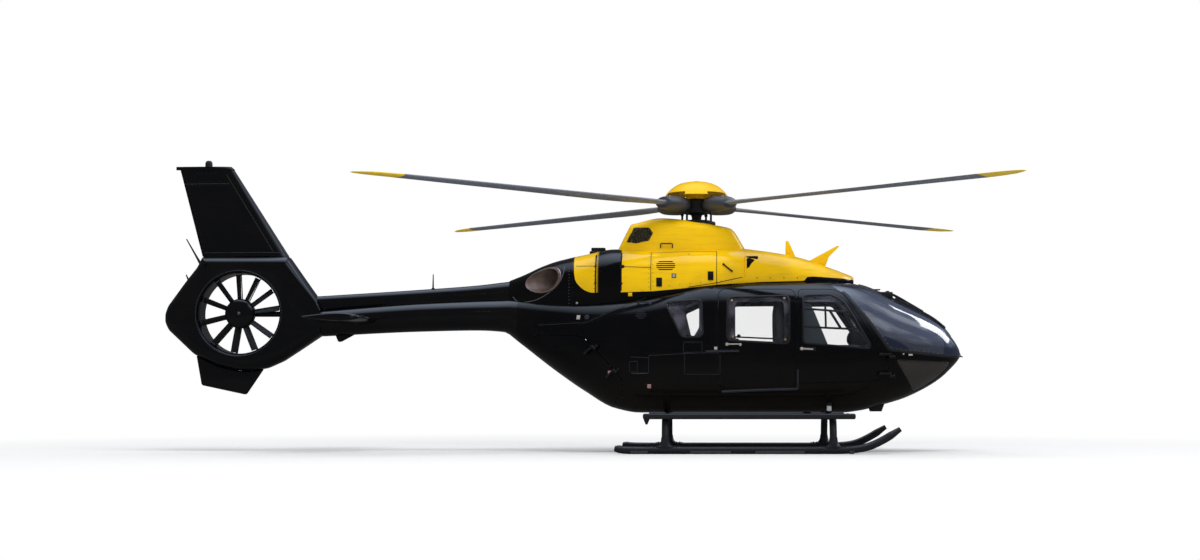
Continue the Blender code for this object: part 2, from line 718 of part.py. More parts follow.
def divide(wall):
    """Parts the wall into its panels: nose, belly, two sides, and roof with the tail frame."""
    tail, ahead = BODY_REAR - 0.1, BODY_FRONT + 0.1
    sides = ((TAIL_SEAM_X, BELLY_SEAM_Z), (NOSE_SEAM_X, BELLY_SEAM_Z), *reversed(ROOF_SEAM))
    roof = ((tail, BELLY_SEAM_Z), (TAIL_SEAM_X, BELLY_SEAM_Z), *ROOF_SEAM, (NOSE_SEAM_X, ABOVE),
            (tail, ABOVE))
    belly = ((tail, BELOW), (NOSE_SEAM_X, BELOW), (NOSE_SEAM_X, BELLY_SEAM_Z),
             (tail, BELLY_SEAM_Z))
    nose = ((NOSE_SEAM_X, BELOW), (ahead, BELOW), (ahead, ABOVE), (NOSE_SEAM_X, ABOVE))
    panels = (
        ("nose_panel", nose, -1, 1), ("belly_panel", belly, -1, 1), ("roof_panel", roof, -1, 1),
        ("side_panel_left", sides, 0, 1), ("side_panel_right", sides, -1, 0),
    )
    for name, outline, low, high in panels:
        smooth(panel_within(name, wall, grown(outline, -GAP / 2), black(), low, high))
    bpy.data.objects.remove(wall)


def make_floor():
    """The cabin floor, fitted to the inside of the wall, with the mat between the seat rows."""
    floor = body_loft("cabin_floor", BODY, WALL + 2 * GAP, CAVITY_FRONT, CAVITY_REAR,
                      BODY_POINTS, trim())
    combine(floor, block("slab", (0.66, -0.9, FLOOR_Z - 0.04), (4.05, 0.9, FLOOR_Z)), "INTERSECT")
    return join(floor, block("mat", (*MAT[0], FLOOR_Z - 0.01), (*MAT[1], FLOOR_Z + MAT_THICKNESS)))


# Roof: fairing, cowlings, engines and exhausts

def seated(obj, body):
    """Trims a piece so that it sits on the body."""
    return cut(obj, body, keep=True)


def hollow_cowl(name, stations, body, material):
    """A cowling with closed ends and an open bottom, fitted to what it sits on."""
    inner = body_loft("inner", stations, COWL_WALL, front=stations[0].x - COWL_WALL,
                      rear=stations[-1].x + COWL_WALL)
    return seated(cut(body_loft(name, stations, material=material), inner), body)


def open_tube(name, stations, material):
    """A tube of the cowling's thickness through the stations, open at both ends."""
    past = 0.01
    inner = (stations[0]._replace(x=stations[0].x + past), *stations[1:-1],
             stations[-1]._replace(x=stations[-1].x - past))
    return cut(body_loft(name, stations, material=material), body_loft("inner", inner, COWL_WALL))


def make_roof_fairing(body):
    """The fairing ahead of the mast, with its blade antenna and its wire cutter."""
    fairing = hollow_cowl("front_roof_fairing", ROOF_FAIRING, body, yellow())
    return smooth(join(fairing, prism("antenna", BLADE_ANTENNA, -PLATE_HALF, PLATE_HALF),
                       prism("cutter", WIRE_CUTTER, -PLATE_HALF, PLATE_HALF)))


def make_engine_cowls(body):
    cowl = hollow_cowl("engine_cowling_left", ENGINE_COWL, body, yellow())
    cut(cowl, block("gearbox_way", *GEARBOX_WAY))
    whole = copy_of(cowl, "engine_cowling_right", yellow())
    cut(cowl, block("port_only", (-1, -1, 1), (3, GAP / 2, 3)))
    cut(whole, block("starboard_only", (-1, -GAP / 2, 1), (3, 1, 3)))
    smooth(cowl)
    smooth(whole)


def make_transmission_cowl():
    """The hump round the gearbox, with the opening for the mast and the swashplate."""
    below = body_loft("engine_cowl_solid", ENGINE_COWL, -GAP)
    fairing_below = body_loft("fairing_solid", ROOF_FAIRING, -GAP)
    cowl = hollow_cowl("transmission_cowling", TRANSMISSION_COWL, below, yellow())
    cut(cowl, fairing_below)
    cut(cowl, cylinder("mast_way", (MAST_X, 0, 2.6), (MAST_X, 0, 3.2), MAST_WAY_RADIUS))
    bpy.data.objects.remove(below)
    return smooth(cowl)


def make_exhausts(body):
    """The tail fairing of the engine deck, and the two pipes that leave it sideways."""
    fairing = hollow_cowl("exhaust_fairing", EXHAUST_FAIRING, body, black())
    cut(fairing, body_loft("boom_solid", BOOM, -GAP))
    cut(fairing, body_loft("cover_solid", SHAFT_COVER, -GAP))
    start, end = (EXHAUST_MOUTH + EXHAUST_DIRECTION * reach for reach in EXHAUST_REACH)
    pipe = cylinder("exhaust_left", start, end, EXHAUST_RADIUS, burnt_metal(), sides=20)
    combine(pipe, body_loft("lip_surface", EXHAUST_FAIRING, -EXHAUST_WALL), "INTERSECT")
    cut(pipe, cylinder("bore", start + EXHAUST_DIRECTION * EXHAUST_WALL, end,
                       EXHAUST_RADIUS - EXHAUST_WALL, sides=20))
    for side in (1, -1):
        flip = Vector((1, side, 1))
        cut(fairing, cylinder("pocket", (start - EXHAUST_DIRECTION * GAP) * flip, end * flip,
                              EXHAUST_RADIUS + GAP, sides=20))
    smooth(fairing)
    mirrored(smooth(pipe), "exhaust_right")


def make_engines(body):
    """Two engines and the main gearbox, each one plain block of its real size."""
    engine = seated(block("engine_left", *ENGINE_BOX, dark_metal(), 0.03), body)
    mirrored(engine, "engine_right")
    seated(block("gearbox", *GEARBOX_BOX, dark_metal(), 0.03), body)


# Tail

def make_boom():
    """The boom, and the cover of the drive shaft along its top."""
    boom = open_tube("tail_boom", BOOM, black())
    join(boom, prism("antenna", BOOM_ANTENNA, -PLATE_HALF, PLATE_HALF))
    cover = open_tube("shaft_cover", SHAFT_COVER, black())
    cut(cover, body_loft("boom_solid", BOOM, -GAP), shroud_way())
    join(cover, cylinder("whip", *WHIP, 0.012, sides=10, end_radius=0.006))
    smooth(boom)
    smooth(cover)


def shroud_way():
    """A cutter that leaves room for the ring wing."""
    return prism("shroud_way", grown(SHROUD, GAP), -0.5, 0.5)


def hollow(shroud):
    """Leaves the ring wing a skin, a hoop round the duct, and a way in from the boom."""
    half = SHROUD_HALF - SHROUD_WALL
    narrow = half - SHROUD_EDGE / 2
    across = Vector((0, 1, 0))
    for inset, reach in ((SHROUD_WALL, narrow), (SHROUD_WALL + SHROUD_EDGE / 2, half)):
        cavity = prism("cavity", grown(SHROUD, -inset), -reach, reach)
        cut(cavity, cylinder("hoop", DUCT - across, DUCT + across, LIP_RADIUS + SHROUD_WALL,
                             sides=DUCT_STEPS))
        cut(shroud, cavity)
    cut(shroud, block("boom_way", (-3.60, -0.10, 1.57), (-3.25, 0.10, 1.75)))


def make_shroud():
    """The ring wing round the tail fan, with its bore and its rounded inlet lip."""
    shroud = prism("fan_shroud", SHROUD, -SHROUD_HALF, SHROUD_HALF, black())
    edges = shroud.modifiers.new("Edges", "BEVEL")
    edges.width = SHROUD_EDGE
    edges.segments = 2
    edges.limit_method = "ANGLE"
    edges.angle_limit = math.radians(60)
    bake(shroud)
    hollow(shroud)
    half = SHROUD_HALF
    bore = ((0, half + 0.05), (LIP_RADIUS, half + 0.05), (LIP_RADIUS, half),
            (DUCT_RADIUS + 0.02, half - 0.03), (DUCT_RADIUS, half - 0.07),
            (DUCT_RADIUS, -half - 0.05), (0, -half - 0.05))
    cut(shroud, turned("bore", bore, DUCT, steps=DUCT_STEPS, axis="Y"))
    return smooth(shroud)


def fin_ring(trailing, leading, z, thickness, inset=0.0):
    chord = leading - trailing - 5 * inset
    foil = airfoil(chord, thickness - 2 * inset)
    return [(leading - 2 * inset - along, across, z) for along, across in foil]


def make_fins():
    """The fin over the duct with its cap and light, and the smaller one under it."""
    fin = loft("tail_fin", [fin_ring(*FIN_ROOT, 0.17), fin_ring(*FIN_TIP, 0.09)], black())
    tip = (*FIN_TIP[:2], FIN_TIP[2] - FOIL_WALL)
    root = (*FIN_ROOT[:2], FIN_ROOT[2] - FOIL_WALL)
    cut(fin, loft("inside", [fin_ring(*root, 0.17, FOIL_WALL), fin_ring(*tip, 0.09, FOIL_WALL)]))
    rear = FIN_TIP[0] - CAP_OVERHANG
    cap_low = (rear, FIN_TIP[1] + 0.01, FIN_TIP[2] + GAP)
    cap_high = (rear, FIN_TIP[1] - 0.04, FIN_TIP[2] + 0.045)
    cap = loft("fin_cap", [fin_ring(*cap_low, 0.10), fin_ring(*cap_high, 0.07)], black())
    join(cap, cylinder("light", *FIN_LIGHT, 0.045, sides=16, end_radius=0.03))
    ventral = cut(prism("ventral_fin", VENTRAL, -0.045, 0.045, black()), shroud_way())
    for piece in (fin, cap, ventral):
        smooth(piece)


def make_stabiliser():
    """One plank through the boom, seen as a half on each side."""
    rear, front = STABILISER_X
    plank = None
    for inset, material in ((0.0, black()), (FOIL_WALL, None)):
        foil = airfoil(front - rear - 5 * inset, 0.10 - 2 * inset)
        half_span = STABILISER_HALF_SPAN - inset
        rings = [[(front - 2 * inset - along, side * half_span, STABILISER_Z + across)
                  for along, across in foil] for side in (-1, 1)]
        layer = loft("stabiliser", rings, material)
        plank = cut(plank, layer) if plank else layer
    plank.name = "stabiliser_left"
    cut(plank, body_loft("boom_way", BOOM, -GAP), shroud_way(),
        block("port_only", (rear - 1, -2, 1), (front + 1, 0, 3)))
    mirrored(smooth(plank), "stabiliser_right")


def spoke(name, angle, low, high, width, thickness, pitch, y, material=None):
    """A flat blade from one radius to another, at an angle in the side view of the duct."""
    bm = bmesh.new()
    bmesh.ops.create_cube(bm, size=1.0)
    bmesh.ops.scale(bm, vec=(high - low, thickness, width), verts=bm.verts)
    bmesh.ops.rotate(bm, matrix=Matrix.Rotation(math.radians(pitch), 3, "X"), verts=bm.verts)
    bmesh.ops.translate(bm, vec=((low + high) / 2, y, 0), verts=bm.verts)
    bmesh.ops.rotate(bm, matrix=Matrix.Rotation(math.radians(-angle), 3, "Y"), verts=bm.verts)
    bmesh.ops.translate(bm, vec=DUCT, verts=bm.verts)
    return mesh_object(name, bm, material)


def make_tail_fan():
    """The rotor at starboard and the fixed vanes behind it, which carry its gearbox."""
    hub = ((0, 0.06), (0.10, 0.055), (FAN_HUB_RADIUS - 0.02, 0.035), (FAN_HUB_RADIUS, 0.0),
           (FAN_HUB_RADIUS, -0.06), (0.03, -0.06), (0.03, -0.0997), (0, -0.0997))
    fan = turned("tail_fan", hub, DUCT + Vector((0, FAN_Y, 0)), dark_metal(), 20, "Y")
    for angle in FAN_ANGLES:
        join(fan, spoke("blade", angle, FAN_HUB_RADIUS - 0.03, FAN_RADIUS, *FAN_BLADE,
                        FAN_Y + 0.02))
    housing = ((0, -0.01), (0.13, -0.01), (0.15, -0.03), (0.15, -0.13), (0.10, -0.16),
               (0, -0.165))
    stator = turned("fan_stator", housing, DUCT, black(), 16, "Y")
    for angle in FAN_ANGLES:
        join(stator, spoke("vane", angle, 0.13, DUCT_RADIUS, *VANE, VANE_Y))
    join(stator, cylinder("drive", DUCT + Vector((0.12, 0.08, 0)),
                          DUCT + Vector((DUCT_RADIUS, 0.08, 0)), DRIVE_RADIUS, sides=12))
    reach = DUCT_RADIUS - GAP
    ring = ((0, 0.5), (reach, 0.5), (reach, -0.5), (0, -0.5))
    combine(stator, turned("reach", ring, DUCT, steps=DUCT_STEPS, axis="Y"), "INTERSECT")
    smooth(fan)
    smooth(stator)
    hang("tail_fan_axis", DUCT, Vector((0, 1, 0)), fan)


# Main rotor

def blade_ring(r, leading, trailing, thickness, twist):
    """A section of a blade that points along +X, leading edge at +Y."""
    ring = []
    for along, across in airfoil(leading - trailing, thickness, BLADE_POINTS):
        y, z = leading - along, across
        turn = math.radians(twist)
        ring.append((r, y * math.cos(turn) - z * math.sin(turn),
                     y * math.sin(turn) + z * math.cos(turn)))
    return ring


def cuff_ring(r, half_width, half_height):
    """An oval with as many points as a blade's section, in the same order."""
    count = 2 * (BLADE_POINTS + 1)
    ring = []
    for i in range(count):
        angle = 2 * math.pi * (i + 0.5) / count
        ring.append((r, half_width * math.cos(angle), half_height * math.sin(angle)))
    return ring


def make_blade(number, angle):
    rings = [cuff_ring(*size) for size in CUFF_SECTIONS]
    rings += [blade_ring(*size) for size in BLADE_SECTIONS]
    blade = loft(f"rotor_blade_{number}", rings, grey_blade())
    place = Matrix.Translation((MAST_X, 0, ROTOR_Z)) @ Matrix.Rotation(math.radians(angle), 4, "Z")
    blade.data.transform(place)
    return smooth(blade)


def make_rotor():
    mast_profile = ((0, 0.08), (0.15, 0.08), (0.17, 0.06), (0.17, -0.09), (0.15, -0.11),
                    (0.061, -0.11), (0.061, 2.8003 - ROTOR_Z), (0, 2.8003 - ROTOR_Z))
    centre = Vector((MAST_X, 0, ROTOR_Z))
    mast = smooth(turned("rotor_mast", mast_profile, centre, bare_steel(), 16))
    dome_profile = (
        (0, 0.319), (0.035, 0.319), (0.04, 0.310), (0.12, 0.303), (0.217, 0.279), (0.30, 0.230),
        (0.365, 0.170), (0.412, 0.112), (0.400, 0.112), (0.29, 0.219), (0.09, 0.288),
        (0.09, 0.0803), (0, 0.0803),
    )
    dome = smooth(turned("hub_dome", dome_profile, centre, yellow(), 24))
    plate_profile = ((0.0615, 2.96 - ROTOR_Z), (0.20, 2.96 - ROTOR_Z), (0.245, 2.945 - ROTOR_Z),
                     (0.245, 2.915 - ROTOR_Z), (0.20, 2.90 - ROTOR_Z), (0.0615, 2.90 - ROTOR_Z),
                     (0.0615, 2.96 - ROTOR_Z))
    swash = turned("swashplate", plate_profile, centre, dark_metal(), 16)
    for angle in BLADE_ANGLES:
        turn = Matrix.Rotation(math.radians(angle + 12), 3, "Z")
        foot = centre + turn @ Vector((0.222, 0, 2.93 - ROTOR_Z))
        head = foot + Vector((0, 0, 0.118))
        join(swash, cylinder("link", foot, head, 0.014, sides=6))
    smooth(swash)
    blades = [make_blade(i + 1, angle) for i, angle in enumerate(BLADE_ANGLES)]
    hang("main_rotor_axis", centre, Vector((0, 0, 1)), mast, dome, swash, *blades)


# Skids

def make_skids():
    rear, front = SKID_X
    line = [(rear, HALF_TRACK, SKID_RADIUS + 0.012), (rear + 0.09, HALF_TRACK, SKID_RADIUS),
            (front, HALF_TRACK, SKID_RADIUS)]
    line += [(x, HALF_TRACK, z) for x, z in SKID_TOE]
    path = [Vector(p) for p in line[:2]] + arc_through(line[2:])
    skid = tube("skid_left", path, SKID_RADIUS, black())
    mirrored(smooth(skid), "skid_right")


def make_cross_tube(name, x):
    """A bow from skid to skid, whose ends are saddles clamped over the skid tubes."""
    z = BELLY_Z - CROSS_TUBE_RADIUS - GAP
    half = [(HALF_TRACK, 0.10), (0.975, 0.27), (0.90, 0.44), (0.72, z), (0.40, z)]
    side = arc_through([(x, y, height) for y, height in half])
    path = side + [Vector((p.x, -p.y, p.z)) for p in reversed(side)]
    bow = tube(name, path, CROSS_TUBE_RADIUS, black())
    for hand in (-1, 1):
        y = hand * HALF_TRACK
        saddle = cylinder("saddle", (x - 0.13, y, SKID_RADIUS), (x + 0.13, y, SKID_RADIUS), 0.064,
                          sides=16)
        cut(saddle, block("below", (x - 1, y - 0.1, -0.1), (x + 1, y + 0.1, SKID_RADIUS)))
        join(bow, saddle)
        cut(bow, cylinder("skid_way", (x - 0.3, y, SKID_RADIUS), (x + 0.3, y, SKID_RADIUS),
                          SKID_RADIUS + 0.002, sides=12))
    return smooth(bow)


def make_steps():
    """A long bar over each skid, on a bracket round each cross tube."""
    step = block("step_left", (STEP_X[0], STEP_Y[0], STEP_Z[0]), (STEP_X[1], STEP_Y[1], STEP_Z[1]),
                 black(), 0.022)
    for x in CROSS_TUBE_X:
        join(step, block("bracket", (x - 0.05, 0.80, 0.46), (x + 0.05, STEP_Y[0] + 0.03, 0.49)))
    for tube_name in ("cross_tube_rear", "cross_tube_front"):
        hull = copy_of(bpy.data.objects[tube_name], "tube_way")
        bm = bmesh.new()
        bm.from_mesh(hull.data)
        for vertex in bm.verts:
            vertex.co += vertex.normal * 0.001
        bm.to_mesh(hull.data)
        bm.free()
        cut(step, hull)
    mirrored(smooth(step), "step_right")


# Cabin inside

def make_seat(name, x, y, width=SEAT_WIDTH):
    """A seat with its pan on a base and its back leaning, as one piece."""
    floor_z = FLOOR_Z + GAP
    profile = (
        (x - 0.02, floor_z), (x + 0.30, floor_z), (x + 0.32, floor_z + 0.26),
        (x + 0.44, floor_z + 0.30), (x + 0.44, floor_z + 0.41), (x + 0.06, floor_z + 0.38),
        (x - 0.08, floor_z + 1.00), (x - 0.11, floor_z + 1.19), (x - 0.20, floor_z + 1.17),
        (x - 0.16, floor_z + 0.92), (x - 0.06, floor_z + 0.30),
    )
    return prism(name, rounded(profile, 0.03), y - width / 2, y + width / 2, cloth())


def make_interior():
    """Two crew seats, the rear bench, and the console with its instrument panel."""
    floor_z = FLOOR_Z + GAP
    make_seat("pilot_seat", SEAT_X, -SEAT_Y)
    make_seat("copilot_seat", SEAT_X, SEAT_Y)
    make_seat("rear_seats", BENCH_X, 0.0, BENCH_WIDTH)
    console = (
        (3.55, floor_z), (4.02, floor_z), (4.10, 1.00), (4.16, 1.24), (3.92, 1.30), (3.80, 1.00),
        (3.60, 0.92),
    )
    panel = prism("instrument_console", rounded(console, 0.03), -0.20, 0.20, trim())
    smooth(join(panel, block("binnacle", (3.90, -0.46, 1.06), (4.12, 0.46, 1.30), bevel=0.03)))


def main():
    clear_scene()
    skin = make_skin()
    pane_skin = make_pane_skin()
    wall = make_wall(skin)
    make_doors(skin, wall)
    divide(wall)
    make_panes(pane_skin)
    bpy.data.objects.remove(skin)
    bpy.data.objects.remove(pane_skin)
    make_floor()
    body = solid_body("body_solid", -GAP)
    make_roof_fairing(body)
    make_engine_cowls(body)
    make_transmission_cowl()
    make_exhausts(body)
    make_engines(body)
    bpy.data.objects.remove(body)
    make_boom()
    make_shroud()
    make_fins()
    make_stabiliser()
    make_tail_fan()
    make_rotor()
    make_skids()
    for name, x in zip(("cross_tube_rear", "cross_tube_front"), CROSS_TUBE_X):
        make_cross_tube(name, x)
    make_steps()
    make_interior()
    pieces = bpy.data.objects
    for side, hand in (("left", 1), ("right", -1)):
        flip = Vector((1, hand, 1))
        hang(f"crew_door_{side}_hinge", CREW_HINGE * flip, CREW_AXIS,
             pieces[f"crew_door_{side}"], pieces[f"crew_window_{side}"])
        hang(f"clamshell_{side}_hinge", CLAMSHELL_HINGE * flip, CLAMSHELL_AXIS,
             pieces[f"clamshell_{side}"])


main()
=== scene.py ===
"""The looks of a light twin-engine helicopter with a ducted tail fan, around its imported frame.

Metres, +X to the nose, +Y to port, +Z up. The camera stands square off the starboard side.
"""

import json
import math
from collections import namedtuple

import bmesh
import bpy
import numpy as np
from mathutils import Matrix, Vector
from mathutils.bvhtree import BVHTree

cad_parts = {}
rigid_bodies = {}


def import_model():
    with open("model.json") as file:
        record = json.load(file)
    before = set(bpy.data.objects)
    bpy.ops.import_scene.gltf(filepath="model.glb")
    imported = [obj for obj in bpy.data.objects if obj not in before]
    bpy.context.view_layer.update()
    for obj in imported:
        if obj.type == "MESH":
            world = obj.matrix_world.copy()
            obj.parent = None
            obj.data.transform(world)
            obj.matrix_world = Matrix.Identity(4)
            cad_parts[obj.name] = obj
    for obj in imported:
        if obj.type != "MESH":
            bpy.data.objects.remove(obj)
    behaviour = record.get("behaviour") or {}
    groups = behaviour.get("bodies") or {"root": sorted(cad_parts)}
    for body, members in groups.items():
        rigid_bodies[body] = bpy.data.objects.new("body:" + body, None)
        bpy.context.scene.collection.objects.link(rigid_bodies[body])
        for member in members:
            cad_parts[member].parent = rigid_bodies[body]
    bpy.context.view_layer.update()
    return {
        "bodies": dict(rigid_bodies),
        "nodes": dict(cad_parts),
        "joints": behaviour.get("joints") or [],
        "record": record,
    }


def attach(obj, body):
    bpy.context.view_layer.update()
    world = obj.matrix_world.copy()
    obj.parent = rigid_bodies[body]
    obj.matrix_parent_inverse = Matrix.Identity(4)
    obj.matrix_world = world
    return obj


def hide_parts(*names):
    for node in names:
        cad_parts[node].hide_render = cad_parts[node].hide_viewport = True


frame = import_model()

AIRFRAME = "airframe"
ROTOR = "main_rotor"
SIDES = (("left", 1), ("right", -1))

# The photograph's camera: level with the sills, off the starboard side
DISTANCE = 24.0
PIXELS = 77.9 * DISTANCE  # of the photograph, to the metre at one metre's distance
CAMERA = Vector((1.755, -DISTANCE, 0.661))
FOCAL_LENGTH = PIXELS * 36 / 1200  # on a sensor 36 mm wide
SHIFT = -115 / 1200  # the photograph is cropped to one side
PITCH = math.atan(120 / PIXELS)

# Sizes that the frame shares with this dress
WALL = 0.045
COWL_WALL = 0.020
PANE_DEPTH = 0.004
PANE = 0.008
GAP = 0.0003
DOOR_GAP = 0.007
POST_HALF = 0.035
FLOOR_Z = 0.70
BELLY_Z = 0.50
MAST = Vector((1.5169, 0.0, 3.16))
DUCT = Vector((-4.327, 0.0, 1.765))
DUCT_RADIUS = 0.511
LIP_RADIUS = 0.548
SHROUD_HALF = 0.17
FAN_ANGLES = (93.5, 64.3, 35.7, 8.1, -35.4, -67.5, -98.6, -130.8, -166.1, 159.2, 125.8)
BLADE_ANGLES = (45, 135, 225, 315)
ROTOR_RADIUS = 5.20
BLADE_CHORD = 0.30
YELLOW_FROM = ROTOR_RADIUS - 0.56  # where a blade's yellow tip starts
HALF_TRACK = 1.00
SKID_RADIUS = 0.048
CROSS_TUBES_X = (1.145, 3.207)
EXHAUST_MOUTH = Vector((-0.42, 0.345, 2.18))
EXHAUST_DIRECTION = Vector((-0.96, 0.28, 0.03)).normalized()
EXHAUST_RADIUS = 0.158
BELLY_LAMP = Vector((2.93, 0.0, 0.448))

# Hinges at port: a point on each axis, its direction, and where along it the hinges start
CREW_HINGE = Vector((3.935, 0.735, 1.10))
CREW_AXIS = Vector((0.0, 0.0, 1.0))
CREW_HINGE_STARTS = (-0.16, 0.08)
CLAMSHELL_HINGE = Vector((0.234, 0.730, 1.314))
CLAMSHELL_AXIS = Vector((-0.289, 0.0, 0.314)).normalized()
CLAMSHELL_HINGE_STARTS = (-0.43, -0.03)
KNUCKLE_LENGTH = 0.030
FIXED_REACH = 0.060
DOOR_REACH = 0.140
SHOE_X = (2.00, 2.55)

SLOPE_STEP = 0.004  # over which a form's slope is measured
SEEN_FROM = 0.15  # the y values between which a wall is cut from one side
SEEN_TO = 1.0

Station = namedtuple("Station", "x half_width low wide high n_high n_low")

# Cross-sections from the nose back: half width, the heights of the bottom, of the widest line
# and of the top, and how square the upper and lower corners are (2 is an ellipse).
BODY = (
    Station(4.895, 0.03, 1.215, 1.24, 1.265, 2.0, 2.0),
    Station(4.865, 0.14, 1.165, 1.245, 1.345, 2.0, 2.0),
    Station(4.79, 0.26, 1.08, 1.25, 1.46, 2.0, 2.0),
    Station(4.64, 0.39, 0.94, 1.25, 1.63, 2.05, 2.1),
    Station(4.39, 0.52, 0.785, 1.25, 1.78, 2.1, 2.2),
    Station(4.13, 0.62, 0.67, 1.25, 1.905, 2.15, 2.4),
    Station(3.87, 0.695, 0.595, 1.25, 2.03, 2.3, 2.6),
    Station(3.62, 0.74, 0.53, 1.26, 2.13, 2.5, 2.8),
    Station(3.36, 0.765, 0.50, 1.28, 2.18, 2.7, 3.2),
    Station(3.00, 0.78, 0.50, 1.30, 2.20, 3.0, 3.4),
    Station(1.70, 0.78, 0.50, 1.30, 2.20, 3.2, 3.4),
    Station(1.20, 0.775, 0.50, 1.30, 2.10, 3.2, 3.4),
    Station(0.80, 0.75, 0.50, 1.27, 2.04, 3.0, 3.2),
    Station(0.47, 0.71, 0.56, 1.30, 2.02, 2.8, 2.8),
    Station(0.09, 0.62, 0.775, 1.40, 2.01, 2.5, 2.4),
    Station(-0.30, 0.48, 1.045, 1.53, 2.00, 2.3, 2.2),
    Station(-0.76, 0.30, 1.40, 1.70, 1.98, 2.1, 2.1),
)
CAVITY_FRONT = 4.70
CAVITY_REAR = BODY[-1].x + WALL
BOOM = (
    BODY[-1]._replace(x=BODY[-1].x - GAP),
    Station(-0.95, 0.24, 1.53, 1.75, 1.97, 2.0, 2.0),
    Station(-1.30, 0.215, 1.55, 1.75, 1.955, 2.0, 2.0),
    Station(-2.03, 0.192, 1.535, 1.73, 1.92, 2.0, 2.0),
    Station(-3.28, 0.17, 1.475, 1.65, 1.82, 2.0, 2.0),
)
SHAFT_COVER = (
    Station(-0.88, 0.13, 1.85, 1.98, 2.18, 2.4, 2.0),
    Station(-1.30, 0.11, 1.85, 1.96, 2.13, 2.4, 2.0),
    Station(-2.03, 0.10, 1.82, 1.93, 2.075, 2.4, 2.0),
    Station(-3.36, 0.085, 1.74, 1.84, 1.99, 2.4, 2.0),
)
ENGINE_COWL = (
    Station(2.12, 0.50, 1.90, 2.22, 2.605, 2.8, 2.0),
    Station(1.90, 0.56, 1.85, 2.20, 2.60, 2.8, 2.0),
    Station(1.00, 0.585, 1.60, 2.14, 2.59, 2.8, 2.0),
    Station(0.47, 0.575, 1.55, 2.12, 2.59, 2.6, 2.0),
    Station(0.09, 0.53, 1.55, 2.10, 2.52, 2.4, 2.0),
    Station(-0.06, 0.50, 1.55, 2.10, 2.49, 2.3, 2.0),
)
EXHAUST_FAIRING = (
    ENGINE_COWL[-1]._replace(x=-0.06 - GAP),
    Station(-0.30, 0.42, 1.60, 2.08, 2.43, 2.3, 2.0),
    Station(-0.49, 0.34, 1.66, 2.06, 2.36, 2.2, 2.0),
    Station(-0.68, 0.25, 1.72, 2.04, 2.27, 2.2, 2.0),
    Station(-0.88 + GAP, 0.14, 1.80, 2.02, 2.19, 2.2, 2.0),
)
ROOF_FAIRING = (
    Station(3.53, 0.10, 2.10, 2.16, 2.235, 2.0, 2.0),
    Station(3.40, 0.27, 2.05, 2.16, 2.29, 2.2, 2.0),
    Station(3.15, 0.37, 2.00, 2.16, 2.38, 2.4, 2.0),
    Station(2.85, 0.42, 2.00, 2.16, 2.48, 2.6, 2.0),
    Station(2.59, 0.45, 2.00, 2.16, 2.535, 2.6, 2.0),
    Station(2.12 + GAP, 0.49, 2.00, 2.16, 2.60, 2.6, 2.0),
)
TRANSMISSION_COWL = (
    Station(2.13, 0.22, 2.30, 2.45, 2.61, 3.0, 2.0),
    Station(1.99, 0.295, 2.30, 2.50, 2.825, 5.0, 2.0),
    Station(1.96, 0.305, 2.30, 2.50, 2.848, 6.0, 2.0),
    Station(1.75, 0.33, 2.30, 2.50, 2.895, 6.0, 2.0),
    Station(1.46, 0.35, 2.30, 2.50, 2.95, 5.0, 2.0),
    Station(1.07, 0.35, 2.30, 2.50, 2.985, 5.0, 2.0),
    Station(0.73, 0.325, 2.30, 2.50, 2.913, 6.0, 2.0),
    Station(0.68, 0.31, 2.30, 2.50, 2.90, 6.0, 2.0),
    Station(0.66, 0.30, 2.30, 2.50, 2.868, 5.0, 2.0),
    Station(0.52, 0.24, 2.30, 2.45, 2.60, 3.0, 2.0),
)

# Door and window outlines as (x, z), seen from the side
CREW_DOOR = (
    (2.800, 0.870), (3.800, 0.905), (3.905, 0.985), (3.925, 1.111), (3.690, 1.485),
    (3.465, 1.848), (3.353, 2.000), (3.230, 2.045), (2.800, 2.045),
)
CREW_WINDOW = ((2.850, 1.368), (3.680, 1.300), (3.690, 1.350), (3.373, 1.885), (3.216, 1.985),
               (2.855, 1.970))
SLIDING_DOOR = ((1.797, 0.811), (2.757, 0.811), (2.757, 2.045), (1.797, 2.045))
SLIDING_WINDOW = ((1.900, 1.400), (2.681, 1.356), (2.681, 1.965), (1.913, 1.946))
AFT_WINDOW = ((1.340, 1.435), (1.607, 1.447), (1.585, 1.915), (1.128, 1.885))
WINDSHIELD = (
    (3.930, 1.294), (4.750, 1.205), (5.050, 1.190), (5.050, 2.500), (3.560, 2.500),
    (3.540, 2.240), (3.200, 2.110), (3.428, 1.958), (3.712, 1.600), (3.865, 1.385),
)
CHIN_WINDOW = (
    (4.013, 1.163), (4.262, 0.766), (4.312, 0.776), (4.420, 0.836), (4.514, 0.896),
    (4.609, 0.972), (4.702, 1.063), (4.744, 1.132),
)
CLAMSHELL = (
    (-0.500, 1.478), (0.008, 1.465), (0.121, 1.427), (0.234, 1.314), (0.523, 1.000),
    (0.599, 0.900), (0.599, 0.787), (0.500, 0.640), (0.400, 0.400), (-0.740, 0.400),
    (-0.740, 1.260),
)

# Where the panels of the body wall meet, seen from the side
NOSE_SEAM_X = 4.010
BELLY_SEAM_Z = 0.690
TAIL_SEAM_X = -0.500
ROOF_SEAM = (
    (TAIL_SEAM_X, 1.600), (0.151, 1.626), (0.602, 1.826), (1.066, 2.000), (1.900, 2.030),
    (3.200, 2.030), (3.400, 1.930), (NOSE_SEAM_X, 1.880),
)

